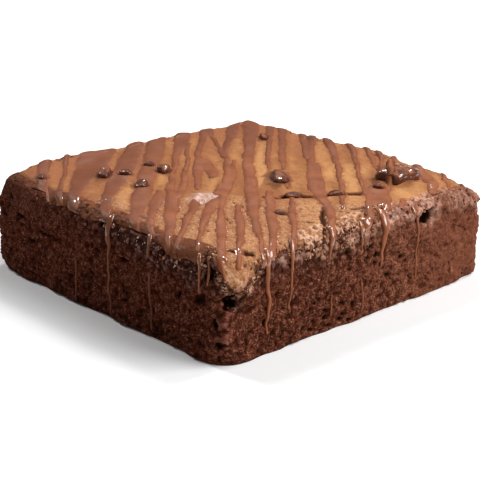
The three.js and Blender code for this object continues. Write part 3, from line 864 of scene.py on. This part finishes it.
# Painted shade on the chocolate and the dough: darker away from the front corner, and down the -Y edge.
far = np.maximum(smoothstep(-along, 0, 34), smoothstep(-across, 12, 28))
far = np.maximum(far, fades(SIDE / 2 + y, 2.5, 6) * fades(x, 28, 36))
smeared = np.zeros(len(skin))
for at_across, at_along, wide, long, share in SMEARS:
    off = np.hypot((across + 2 * wander - at_across) / wide, (along + 6 * wander - at_along) / long)
    smeared = smeared + share * fades(off, 0.55, 1.25)
bare = np.maximum(bare, smoothstep(sugar_and_sheen + 0.3 * ripple(skin, 2.0, 98), 0.45, 0.8))

u, v, turn = square_edge(COOKIE_STATIONS)
low = brownie_edge(turn) + GAP
rings = []
for share in (1.0, 0.55, 0.2):  # the underside, from the level middle out
    x, y, _, _ = outline(u, v, lerp(wall_inset(low), CORE_INSET, share))
    rings.append(np.stack([x, y, lerp(low, CORE_HEIGHT + GAP, smoothstep(share, 0, 1))], axis=1))
under_points = np.concatenate(rings)
points = np.vstack([under_points, cookie_face, [[0, 0, CORE_HEIGHT + GAP]]])
under_count = len(under_points)
# Streaks of lighter and darker dough, drawn out along the bar's diagonal.
streak = ripple(np.stack([across, along / 5, np.zeros_like(across)], axis=1), 3.4, 95, 3)
# How high the browned edge reaches: wider on the +X face near its middle, and wide on the -Y face.
x, y, _ = skin.T
band = 1.1 + 1.2 * (x > FRONT) * span(y, -16, -6, 10, 24)
band = band + (4 + 12 * ribbon) * (y < -FRONT) * fades(x, 32, 38)
fields = {
    "grainy": grainy, "pit_depth": hollowed, "film": film, "smeared": smeared, "band": over_edge / band,
    "blended": blended, "pale": blended * (1 - 0.55 * smoothstep(y, 18, 34)), "broken": broken,
    "stain_and_crease_shade": stain_and_crease_shade, "tip": np.maximum(tip, 0.5 * ribbon), "far": far, "streak": streak, "sugar_and_sheen": sugar_and_sheen,
}
cookie = make_piece(
    "cookie_layer_baked",
    points,
    np.vstack([ring_quads(len(rings) + 1, COOKIE_STATIONS), skin_quads + under_count]),
    closing_fan(np.arange(COOKIE_STATIONS), len(points) - 1, up=False),
    "cookie",
    **{field: np.pad(values, (under_count, 1)) for field, values in fields.items()},
)
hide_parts("cookie_layer")

baked = Paint("baked_cookie", IOR=1.45, Specular_IOR_Level=0.13, Specular_Tint=(1, 0.72, 0.58, 1))
fine = baked.noise(0.5, 3, 0.65)
soft = baked.noise(1.4, 3, 0.6)
cloud = baked.noise(7.0, 3, 0.55)
raw = baked.noise(2.2, 3, 0.6)
coarse = baked.field("grainy")
smeared = baked.field("smeared")
smear = baked.field("film") * baked.noise(2.4, 2).between(0.25, 0.6)
golden = (cloud * 0.6 + baked.field("streak") * 0.22 + 0.2).between(0.3, 0.75)
near_edge = 1 - (baked.field("band") + (0.5 - raw) * 1.6).between(0.25, 1.0)
tip = baked.field("tip")
burnt = near_edge * raw.between(0.47, 0.6) * (1 - baked.field("blended")) * (1 - tip)
painted_glints = coarse * baked.field("film") * baked.noise(0.6, 1).between(0.68, 0.74)
broken = baked.field("broken")
sugar_and_sheen = baked.field("sugar_and_sheen") * (0.4 + raw.between(0.4, 0.6) * 0.6)
pale = baked.layers((0.33, 0.14, 0.078), (soft.between(0.42, 0.58), (0.64, 0.36, 0.26)))
colour = baked.layers(
    (0.255, 0.096, 0.032),
    (golden, (0.42, 0.185, 0.068)),
    ((smeared * -1).between(0.0, 1.0) * 0.8, (0.52, 0.255, 0.1)),
    # Painted shade away from the front corner and down the -Y edge.
    (baked.field("far") * soft.between(0.35, 0.6) * 0.42, (0.2, 0.075, 0.03)),
    # The grainy face: light grains, dark between them.
    (coarse * 0.55, (0.43, 0.203, 0.097)),
    (fine.between(0.5, 0.7) * (coarse * 0.5 + 0.1), (0.66, 0.405, 0.255)),
    (fine.fades(0.3, 0.5) * (coarse * 0.45 + 0.12), (0.19, 0.068, 0.025)),
    (soft.fades(0.36, 0.5) * (coarse * 0.3 + 0.15), (0.2, 0.07, 0.025)),
    # A film of chocolate, stains round the chunks, and painted shade in and beside the folds.
    (smear * 0.65, (0.24, 0.078, 0.032)),
    ((smeared + (raw - 0.5) * 0.8).between(0.1, 0.75) * 0.75, (0.255, 0.09, 0.038)),
    (baked.field("stain_and_crease_shade").between(0, 1) * 0.75, (0.12, 0.037, 0.0165)),
    # The browned edge, burnt in places.
    (near_edge * 0.85, (0.19, 0.057, 0.021)),
    (burnt * 0.85, (0.055, 0.014, 0.0065)),
    (near_edge * tip * 0.7, (0.095, 0.024, 0.0095)),
    (near_edge * tip * raw.fades(0.36, 0.48) * 0.6, (0.045, 0.011, 0.005)),
    # Painted glints: pale specks on the grainy face beside the chocolate.
    (painted_glints * 0.8, (0.8, 0.6, 0.52)),
    # Pale where the cookie and the brownie baked into one.
    (near_edge * baked.field("pale") * 0.8, pale),
    # Broken crumb, then the holes darkened as painted shade, then the sugary patch, pale partly as a
    # painted highlight.
    (broken * soft.fades(0.38, 0.46) * 0.5, (0.2, 0.07, 0.033)),
    (broken * soft.between(0.47, 0.56) * 0.8, (0.66, 0.405, 0.285)),
    (baked.field("pit_depth").between(0.1, 0.45) * 0.9, (0.06, 0.016, 0.0065)),
    (sugar_and_sheen * 0.85, (0.74, 0.52, 0.45)),
)
height = baked.grain(0.6) * -0.5 * coarse + fine * (coarse * 0.6 + 0.2) + soft * 1.2 + raw * sugar_and_sheen * 2
bump = baked.bump(height, 0.26)
wet = near_edge * raw.between(0.5, 0.6) * 0.4 + broken * soft.between(0.5, 0.6) * 0.4 + sugar_and_sheen * 0.35
baked.finish(cookie, Base_Color=colour, Roughness=0.68 - wet, Normal=bump)


# ----------------------------------------
# The drizzle. Melted milk chocolate flicked to and fro along the bar's diagonal in some thirty passes,
# thick where the hand slowed, and set with round edges. It is the cookie's skin, lifted by the
# chocolate's thickness.

BEADS = [  # drops that stand on the chocolate: across, along, half-width, height
    (-37.2, 20, 0.8, 0.35), (-29.5, 20.4, 1.3, 0.5), (-22.3, 26.4, 1.0, 0.4), (-19.2, 31.2, 1.3, 0.5),
    (-17.6, 33.4, 0.9, 0.4), (-12.6, 41, 0.9, 0.35), (34.8, 20.4, 1.4, 0.55), (39.5, 22.6, 0.9, 0.4),
    (30.6, 28.6, 1.3, 0.55), (24.9, 23, 0.8, 0.35), (-47, 3.4, 1.0, 0.4), (9.7, 49.6, 0.8, 0.4),
    (7.9, 51.4, 0.8, 0.35), (2.9, 52.2, 0.9, 0.4), (0.2, 56, 0.7, 0.4), (33, 13.6, 0.9, 0.5),
    (-39.4, 24.8, 0.7, 0.3),
]
SKIRT = 0.5  # how far the chocolate's sheet dips under the cookie's skin beyond its edges
TOUCHED = -0.98 * SKIRT  # below this, a stroke or drop leaves the sheet as it was
STROKE_LEAST, STROKE_MORE = 0.15, 0.16  # a narrow stroke's thickness, and what a wide one has more
STROKE_WIDE = 1.1  # the half-width at which a stroke has most of that
ROUNDNESS = 1.8  # the power that rounds a stroke's edges


def joined(first, second, soft):
    """The greater of two thicknesses, with the crease between them filled over a small width."""
    share = np.clip(0.5 + 0.5 * (second - first) / soft, 0, 1)
    return lerp(first, second, share) + soft * share * (1 - share)


# The strokes are thicker along the two back edges.
back_rim = 1 + 1.1 * smoothstep(np.abs(across) - along, 46, 58) * smoothstep(np.abs(across), 8, 20)
thickness = np.full(len(skin), -SKIRT)
for off, half in strokes:
    arch = 1 - (off / half) ** 2
    thick = (STROKE_LEAST + STROKE_MORE * (1 - np.exp(-half / STROKE_WIDE))) * back_rim
    rounded = thick * (1 - (1 - np.clip(arch, 0, 1)) ** ROUNDNESS)
    stroke = np.where(arch > 0, rounded, np.maximum(arch, -1) * SKIRT)
    thickness = np.where(stroke > TOUCHED, joined(thickness, stroke, soft=0.14), thickness)
wetness = np.zeros(len(skin))
for at_across, at_along, half, high in BEADS:
    off = np.hypot(across - at_across, along - at_along) / half
    drop = high * (1 - off**2)
    wetness = np.maximum(wetness, fades(off, 0.8, 1.4))
    with_drop = joined(thickness, np.maximum(drop, -SKIRT), soft=0.1)
    thickness = np.where(drop > TOUCHED, with_drop, thickness)
# It stayed wet in patches along the front edges too.
x, y, _ = skin.T
front_rim = fades(np.minimum(SIDE / 2 - x, SIDE / 2 + y), 5, 10)
wetness = np.maximum(wetness, 0.75 * front_rim * smoothstep(ripple(skin, 3.0, 97), 0.0, 0.5))
thickness = lerp(thickness + 0.05 * ripple(skin, 3.0, 93) * (thickness > 0), -SKIRT, bare)
poured_on = skin + np.array([0, 0, 1]) * over_chunks[:, None]
lifted = poured_on + skin_normals * thickness[:, None]
sunk = poured_on + skin_normals * (np.minimum(thickness, 0) - SKIRT)[:, None]


def closed_sheet(quads, count):
    """The faces of a sheet with an upper and a lower side: the quads, the same ones turned over on points
    count further on, and a strip along each edge that only one quad has."""
    edges = np.concatenate([quads[:, [k, (k + 1) % 4]] for k in range(4)])
    key = edges[:, 0] * count + edges[:, 1]
    back = edges[:, 1] * count + edges[:, 0]
    rim = edges[~np.isin(key, back)]
    strip = np.stack([rim[:, 1], rim[:, 0], rim[:, 0] + count, rim[:, 1] + count], axis=1)
    return np.vstack([quads, quads[:, ::-1] + count, strip])


def used_only(points, quads):
    """The points that the faces use, and the faces renumbered for them."""
    kept, renumbered = np.unique(quads, return_inverse=True)
    return points[kept], renumbered.reshape(-1, 4)


covered = skin_quads[(thickness[skin_quads] > -0.5 * SKIRT).any(axis=1)]
values = np.stack([wetness, thickness, far], axis=1)
both_sides = np.hstack([np.vstack([lifted, sunk]), np.tile(values, (2, 1))])
points, quads = used_only(both_sides, closed_sheet(covered, len(skin)))
no_triangles = np.zeros((0, 3), int)
fields = dict(zip(("wetness", "thick", "far"), points[:, 3:].T))
drizzle = make_piece("milk_chocolate_drizzle", points[:, :3], quads, no_triangles, "chocolate", **fields)

gloss = {"IOR": 1.46, "Coat_Roughness": 0.1, "Coat_IOR": 1.7}
milk = Paint("milk_chocolate", Specular_IOR_Level=0.25, Specular_Tint=(1, 0.76, 0.64, 1), **gloss)
cloud = milk.noise(5.0, 3, 0.5)
wet = (milk.field("wetness") + milk.noise(1.7, 1) * 2).between(1.5, 1.75)
painted_shade_share = milk.field("far")
thick = milk.field("thick") + (milk.noise(2.4, 3, 0.6) - 0.5) * 0.12
dough_and_edge_shade = milk.layers((0.14, 0.04, 0.0155), (painted_shade_share, (0.25, 0.09, 0.036)))
colour = milk.layers(
    (0.195, 0.056, 0.0205),
    (cloud.between(0.3, 0.7), (0.26, 0.08, 0.031)),
    # Painted shade away from the front corner and down the -Y edge.
    (painted_shade_share * 0.75, (0.15, 0.044, 0.018)),
    # The dough shows through where it is thin; near the front corner the thin edges are darker as painted
    # shade, and the thick crests lighter as a painted highlight.
    (thick.fades(0.0, 0.16) * 0.55, dough_and_edge_shade),
    (thick.between(0.22, 0.4) * (1 - painted_shade_share) * 0.3, (0.34, 0.12, 0.055)),
)
bump = milk.bump(milk.noise(1.3, 3), 0.07)
milk.finish(drizzle, Base_Color=colour, Roughness=0.44 + cloud * 0.12, Coat_Weight=wet, Normal=bump)


# ----------------------------------------
# The chunks. Broken pieces of dark chocolate pressed into the cookie before baking, half melted: flat
# faces from the breaking, with softened edges. Each is a ball cut back by a few planes, at the size and
# place of its solid.

CHUNK_RINGS, CHUNK_STATIONS = 28, 56
DULL_CHUNKS = (3, 4, 5, 6, 13)  # the ones that melted into the dough
PLANES = 8  # the slanted cuts of each
SHARPNESS = 36  # how sharply its faces meet
BLOCKY = 0.8  # below 1, a ball bulges towards a block's corners
BIGGEST_GROWN = 1.22  # the biggest swelled as it melted


def ball(rings, stations):
    """Points all over a ball of radius 1: rings from the bottom up, then its lowest point and its top."""
    theta = np.linspace(np.pi, 0, rings + 2)[1:-1, None]
    phi = np.linspace(0, 2 * np.pi, stations, endpoint=False)[None, :]
    height = np.cos(theta) + np.zeros_like(phi)
    points = np.stack([np.sin(theta) * np.cos(phi), np.sin(theta) * np.sin(phi), height], axis=2)
    return np.vstack([points.reshape(-1, 3), [[0, 0, -1], [0, 0, 1]]])


def broken_ball(seed, turned):
    """A chunk of about radius 1. It goes out in each direction by the least of the distances to some
    slanted planes and to a ball, blended softly where they meet, then is roughened and made blocky."""
    away = ball(CHUNK_RINGS, CHUNK_STATIONS)
    chance = np.random.default_rng(seed)
    planes = chance.normal(size=(PLANES, 3))
    planes /= np.linalg.norm(planes, axis=1, keepdims=True)
    # One more cut slopes the top the same way on every chunk, and four upright ones square its sides.
    upper = math.atan2(-0.15, 0.25) - math.radians(turned)
    slope = [0.29 * math.cos(upper), 0.29 * math.sin(upper), 0.957]
    planes = np.vstack([planes, slope, np.eye(3)[:2], -np.eye(3)[:2]])
    depth = np.append(chance.uniform(0.66, 0.96, PLANES), [0.82] + [0.92] * 4)
    facing = np.maximum(away @ planes.T, 0.02)
    reach = np.concatenate([depth / facing, np.full((len(away), 1), 1.06)], axis=1)
    reach = (reach**-SHARPNESS).sum(axis=1) ** (-1 / SHARPNESS)
    points = away * (reach + 0.08 * ripple(away + seed, 0.5, 110, 3))[:, None]
    return np.sign(points) * np.abs(points) ** BLOCKY


dark = Paint("dark_chocolate", Specular_IOR_Level=0.2, Specular_Tint=(1, 0.6, 0.45, 1), **gloss)
cloud = dark.noise(1.4, 3, 0.6)
top = dark.field("top")
poured = (top + (dark.noise(2.2, 2) - 0.5) * 2.2).between(0.75, 1.05)
colour = dark.layers(
    (0.06, 0.0145, 0.006),
    (cloud.between(0.35, 0.65), (0.12, 0.034, 0.0155)),
    # Painted shade on the lower sides.
    (top.fades(-0.1, 0.5) * 0.7, (0.045, 0.008, 0.005)),
    (poured * 0.85, (0.23, 0.075, 0.03)),
)
bump = dark.bump(dark.noise(0.9, 3, 0.6), 0.14)
shine = dark.noise(1.1, 2).between(0.46, 0.56) * dark.field("glossy")
quads = ring_quads(CHUNK_RINGS, CHUNK_STATIONS)
fans = end_fans(CHUNK_RINGS, CHUNK_STATIONS, CHUNK_RINGS * CHUNK_STATIONS)
for number, (size, turned) in enumerate(CHUNKS, 1):
    node = f"chocolate_chunk_{number:02d}"
    low_corner, high_corner = solid_box(node)
    local = broken_ball(number, turned) * np.array(size) / 2 * (BIGGEST_GROWN if number == 1 else 1.0)
    points = local @ turn_matrix(turned).T + (low_corner + high_corner) / 2
    fields = {"top": local[:, 2] / size[2] * 2, "glossy": np.full(len(points), number not in DULL_CHUNKS)}
    chunk = make_piece(f"broken_chunk_{number:02d}", points, quads, fans, "chocolate", **fields)
    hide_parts(node)
    dark.finish(chunk, Base_Color=colour, Roughness=0.5 - cloud * 0.1, Coat_Weight=shine, Normal=bump)


# ----------------------------------------
# The drips. Chocolate that ran over the rim while it was warm: a bead under the edge, and below it a
# thread down to a third of a millimetre wide. Each is a tube, wider than thick, laid over the highest
# crumbs of the wall.

DRIPS = [  # the wall, then from the top down: height, place along the wall, width
    ("-Y", [(23.3, 3.4, 2.4), (21.5, 3.7, 1.4), (19.4, 4, 1.3), (18, 4.2, 1.5), (16.6, 4.6, 0.9),
            (15, 4.8, 0.6), (8, 5, 0.48), (0.8, 5.2, 0.4)]),
    ("-Y", [(23, 18, 1.4), (21, 18.6, 0.8), (19.5, 19, 0.8), (18.2, 19.1, 0.5)]),
    ("-Y", [(15.4, 19.1, 0.5), (14, 19.1, 0.8), (13, 19.1, 0.36), (1.5, 19.2, 0.34)]),
    ("-Y", [(12, -8.2, 0.4), (6, -8, 0.45), (0.5, -8, 0.4)]),
    ("-Y", [(22.8, 35.6, 1.1), (20.4, 36, 0.7), (17.6, 36.2, 0.4), (15, 36.3, 0.35)]),
    ("-Y", [(23, 38.6, 0.8), (21, 38.6, 0.5), (17.6, 38.6, 0.35)]),
    ("+X", [(23.2, -30.6, 1.5), (21.5, -30.4, 1.5), (19, -30.2, 1.3), (16, -30.2, 1), (12, -30.2, 0.8),
            (8, -30.6, 0.6), (4.6, -31, 0.5)]),
    ("+X", [(23.3, -22.6, 1.6), (21.5, -23, 1.2), (19, -23.4, 0.8), (16, -23.6, 0.6), (12, -23.9, 0.45),
            (10, -24.2, 0.5), (8.6, -24.3, 0.8)]),
    ("+X", [(23.2, -10, 1.8), (21.8, -10.8, 1.4), (20, -11.4, 1), (18, -11.9, 0.7), (16.6, -12.1, 0.45)]),
    ("+X", [(8, -11, 0.35), (5.5, -11, 0.45), (3, -11, 0.35)]),
    ("+X", [(22.6, -0.8, 1.1), (20, -1, 0.6), (16, -1.2, 0.35)]),
    ("+X", [(10, -1.4, 0.35), (5, -1.5, 0.4), (1.5, -1.5, 0.35)]),
    ("+X", [(23.6, 7.4, 2.6), (22, 7.4, 2.3), (20, 7.1, 2), (18, 6.4, 1.4), (15, 5.4, 0.9),
            (11, 4.6, 0.45)]),
    ("+X", [(22.4, 17.2, 0.9), (20, 17.4, 0.6), (12, 17.5, 0.45), (5, 17.5, 0.4)]),
    ("+X", [(5.2, 30, 0.6), (4.2, 30, 1.1), (3, 30, 0.6)]),
    # Drops that hang by themselves.
    ("-Y", [(20.6, -4.4, 1), (19.8, -4.4, 1)]),
    ("-Y", [(21.6, 2.4, 1), (20.8, 2.4, 1.1)]),
    ("-Y", [(22.2, 5.2, 1.3), (21.2, 5.2, 1.3)]),
    ("+X", [(22.9, 9, 1.6), (21.9, 8.9, 1.6)]),
    ("+X", [(21.8, 17, 1.6), (20.8, 17, 1.5)]),
    ("+X", [(17.2, 22, 1.1), (16.4, 22, 1.1)]),
    ("+X", [(20.8, -13.4, 0.9), (19.6, -13.4, 0.8)]),
]
DRIP_STEP, DRIP_SIDES = 0.35, 12
WALL_SHIFT, WALL_LIFT = 0.01, 0.05  # the steps that give the wall's slope, along it and up it
BESIDE, CLOSE = 0.5, 2.5  # a drip lies on ground this near beside its middle line and to the smooth wall
NO_GROUND = -0.4  # where there is none, it sinks this far into the smooth wall


def wall_place(face, place, z):
    """Points of the smooth wall at places along it and heights, and the normals from their steps each
    way."""
    along = place / (SIDE / 2)
    ends = np.full_like(z, 1.0 if face == "+X" else -1.0)

    def surface(shift, lift):
        """The wall's points when every place is shifted along it and lifted."""
        u, v = (ends, along + shift) if face == "+X" else (along + shift, ends)
        return np.stack(bar_surface(u, v, wall_inset(z + lift), z + lift), axis=1)

    sideways = surface(WALL_SHIFT, 0) - surface(-WALL_SHIFT, 0)
    upwards = surface(0, WALL_LIFT) - surface(0, -WALL_LIFT)
    normal = np.cross(sideways, upwards)
    return surface(0, 0), normal / np.linalg.norm(normal, axis=1, keepdims=True)


def drip_tube(face, stations, ground):
    """A flattened tube from station to station, lifted off the smooth wall by the highest ground under it:
    ellipses, smaller towards both ends, square to its middle line. Gives its points and how many rings."""
    z, place, width = np.array(stations, float).T
    length = np.concatenate([[0], np.cumsum(np.hypot(np.diff(z), np.diff(place)))])
    fine_at = np.linspace(0, length[-1], max(6, int(length[-1] / DRIP_STEP)))
    z, place, width = [evened(np.interp(fine_at, length, values), 4) for values in (z, place, width)]
    base, normal = wall_place(face, place, z)
    offset = ground[None] - base[:, None]
    out = (offset * normal[:, None]).sum(axis=2)
    beside = np.linalg.norm(offset - out[..., None] * normal[:, None], axis=2)
    rise = np.where((beside < BESIDE) & (np.abs(out) < CLOSE), out, NO_GROUND).max(axis=1)
    middle = base + normal * evened(rise, 4)[:, None]
    onward = np.gradient(middle, axis=0)
    side = np.cross(onward, normal)
    side /= np.linalg.norm(side, axis=1, keepdims=True)
    ends = np.sqrt(np.clip(np.minimum(fine_at, fine_at[-1] - fine_at) / (width / 2), 0.05, 1))
    swell = 1 + 0.1 * np.sin(fine_at * 2.1 + place)
    half, thick = ends * swell * width / 2, ends * (0.16 + 0.2 * width)
    angle = -np.linspace(0, 2 * np.pi, DRIP_SIDES, endpoint=False)
    tube = middle[:, None] + side[:, None] * (half[:, None] * np.cos(angle))[..., None]
    tube = tube + normal[:, None] * (thick[:, None] * np.sin(angle))[..., None]
    return np.vstack([tube.reshape(-1, 3), middle[:1], middle[-1:]]), len(middle)


ground = np.vstack([wall.reshape(-1, 3), lifted[thickness > 0], skin])
points, quads, fans, first = [], [], [], 0
for face, stations in DRIPS:
    places = np.array(stations)[:, 1]
    beside, outward = (ground[:, 1], ground[:, 0]) if face == "+X" else (ground[:, 0], -ground[:, 1])
    near = (beside > places.min() - 2) & (beside < places.max() + 2) & (outward > RIM)
    tube, rings_used = drip_tube(face, stations, ground[near])
    quads.append(ring_quads(rings_used, DRIP_SIDES, first))
    fans.append(end_fans(rings_used, DRIP_SIDES, first + len(tube) - 2, first))
    points.append(tube)
    first += len(tube)
points, quads, fans = [np.vstack(part) for part in (points, quads, fans)]
x, y, z = points.T
fields = {"thick": np.ones(first), "wetness": 0.9 * smoothstep(z, 18.8, 20.6)}
# Painted shade on the drips down the -Y face.
fields["far"] = 0.9 * (y < -38) * fades(x, 30, 38)
drips = make_piece("milk_chocolate_drips", points, quads, fans, "chocolate", **fields)
drips.data.materials.append(milk.material)


# ----------------------------------------
# The crumbs. Loose crumbs of brownie and of cookie that cling along the seam between the two and on the
# walls: lumps of a third of a millimetre to one millimetre, each a rough ball of a few dozen faces.

CRUMB_RINGS, CRUMB_STATIONS = 5, 8
LEAST_CRUMB, LARGEST_CRUMB = 0.3, 0.75  # their widths, before each is stretched and dented


def crumb_lumps(places, sizes, seed):
    """Rough balls of given sizes at given places: rings of points, each pushed out or in by its own
    chance."""
    chance = np.random.default_rng(seed)
    lump = ball(CRUMB_RINGS, CRUMB_STATIONS)
    push = chance.uniform(0.65, 1.2, (len(places), len(lump), 1))
    stretch = chance.uniform(0.7, 1.25, (len(places), 1, 3))
    points = places[:, None] + lump * push * stretch * sizes[:, None, None] / 2
    first = (np.arange(len(places)) * len(lump))[:, None, None]
    quads = first + ring_quads(CRUMB_RINGS, CRUMB_STATIONS)
    fans = first + end_fans(CRUMB_RINGS, CRUMB_STATIONS, len(lump) - 2)
    return points.reshape(-1, 3), quads.reshape(-1, 4), fans.reshape(-1, 3)


chance = np.random.default_rng(5)
# Where they cling: on the cookie's lower edge and face, on the brownie just under it, round and beside the
# tongue at the front corner, and here and there on the whole wall.
x, y, _ = skin.T
in_front = ((x > FRONT) | ((y < -FRONT) & (x > 18))) & (blended < 0.3)
lip_edge = np.flatnonzero((over_edge < 0.7) & in_front)
lip_face = np.flatnonzero((over_edge < 1.6) & in_front & (x > 33))
tongue_edge = np.flatnonzero((over_edge < 0.5) & (along > 55.5))
low_wall = wall.reshape(-1, 3)
upper_wall = np.flatnonzero((fade > 0.3) & (below_edge < 2.4))
x, y, _ = low_wall[upper_wall].T
below_front = upper_wall[(x > FRONT) | (y < -FRONT) & (x > 18)]
round_tongue = upper_wall[diagonals(x, y)[1] > 54.5]
beside_tongue = upper_wall[(x > 39) & (np.abs(y + 35) < 3)]
anywhere = np.flatnonzero(fade > 0.9)
CRUMBS = [  # name, slot, material, the fields it needs, where and how many
    ("brownie_crumbs", "brownie", crumb, {"grain_top": 0.15, "moist": 0.2, "tone": 0},
     [(skin, lip_edge, 110), (low_wall, below_front, 80), (low_wall, round_tongue, 50),
      (skin, tongue_edge, 90), (low_wall, anywhere, 500)]),
    ("cookie_crumbs", "cookie", baked, {"grainy": 1, "band": 0.75, "broken": 0.6},
     [(skin, lip_face, 130), (low_wall, below_front, 60), (low_wall, round_tongue, 40),
      (low_wall, beside_tongue, 70)]),
]
for name, slot, paint, fields, grounds in CRUMBS:
    places = np.vstack([source[chance.choice(numbers, count)] for source, numbers, count in grounds])
    lumps = crumb_lumps(places, chance.uniform(LEAST_CRUMB, LARGEST_CRUMB, len(places)), 7)
    values = {field: np.full(len(lumps[0]), value) for field, value in fields.items()}
    crumbs = make_piece(name, *lumps, slot, **values)
    crumbs.data.materials.append(paint.material)


# ----------------------------------------
# The stage: a pale floor, a broad lamp to the bar's right, three small bright ones behind it, and soft
# light all round.

BAR_MIDDLE = Vector((-0.00036, 0.0001, 0.012))
LAMPS_MIDDLE = Vector((0, 0, 0.012))


def make_floor():
    """A pale matt floor, six metres square, that the bar stands on."""
    mesh = bpy.data.meshes.new("floor")
    mesh.from_pydata([(-3, -3, 0), (3, -3, 0), (3, 3, 0), (-3, 3, 0)], [], [(0, 1, 2, 3)])
    floor = bpy.data.objects.new("floor", mesh)
    bpy.context.scene.collection.objects.link(floor)
    paper = Paint("pale_floor", Roughness=0.9, Specular_IOR_Level=0.2)
    grey = paper.layers((0.84, 0.84, 0.84), (paper.noise(300.0, 1), (0.86, 0.86, 0.86)))
    paper.finish(floor, Base_Color=grey)


def add_lamp(name, towards, distance, size, power):
    """A square lamp at a distance from the bar, in a direction, facing it."""
    lamp = bpy.data.lights.new(name, "AREA")
    lamp.size, lamp.energy = size, power
    holder = bpy.data.objects.new(name, lamp)
    aim = Vector(towards).normalized()
    holder.location = LAMPS_MIDDLE + aim * distance
    holder.rotation_euler = aim.to_track_quat("Z", "Y").to_euler()
    bpy.context.scene.collection.objects.link(holder)


def add_camera(azimuth, elevation, distance, aside, lens):
    """A camera at an azimuth and elevation round the bar's middle, aimed a little to one side of it."""
    turn, tilt = math.radians(azimuth), math.radians(elevation)
    back = Vector((math.sin(turn) * math.cos(tilt), -math.cos(turn) * math.cos(tilt), math.sin(tilt)))
    right = Vector((math.cos(turn), math.sin(turn), 0))
    up = back.cross(right)
    camera = bpy.data.cameras.new("camera")
    camera.lens, camera.sensor_width = lens, 36
    holder = bpy.data.objects.new("camera", camera)
    aim = BAR_MIDDLE + right * aside[0] + up * aside[1]
    holder.location = BAR_MIDDLE + back * distance
    holder.rotation_euler = (holder.location - aim).to_track_quat("Z", "Y").to_euler()
    bpy.context.scene.collection.objects.link(holder)
    bpy.context.scene.camera = holder


make_floor()
add_camera(47.79, 18.705, 0.34485, (0.00087, -0.00554), 103.1)
add_lamp("key_lamp", (0.6, 0.4, 0.66), 0.9, 0.6, 9.8)
add_lamp("rim_lamp", (-0.7, -0.12, 0.68), 0.8, 0.12, 2.9)
add_lamp("back_lamp", (-0.4, 0.45, 0.75), 0.8, 0.12, 2.2)
add_lamp("glint_lamp", (0.12, 0.64, 0.72), 0.8, 0.12, 2)
world = bpy.data.worlds.new("studio")
world.use_nodes = True
world.node_tree.nodes["Background"].inputs["Color"].default_value = (1, 1, 1, 1)
world.node_tree.nodes["Background"].inputs["Strength"].default_value = 0.1
bpy.context.scene.world = world
bpy.context.scene.view_settings.view_transform = "Standard"
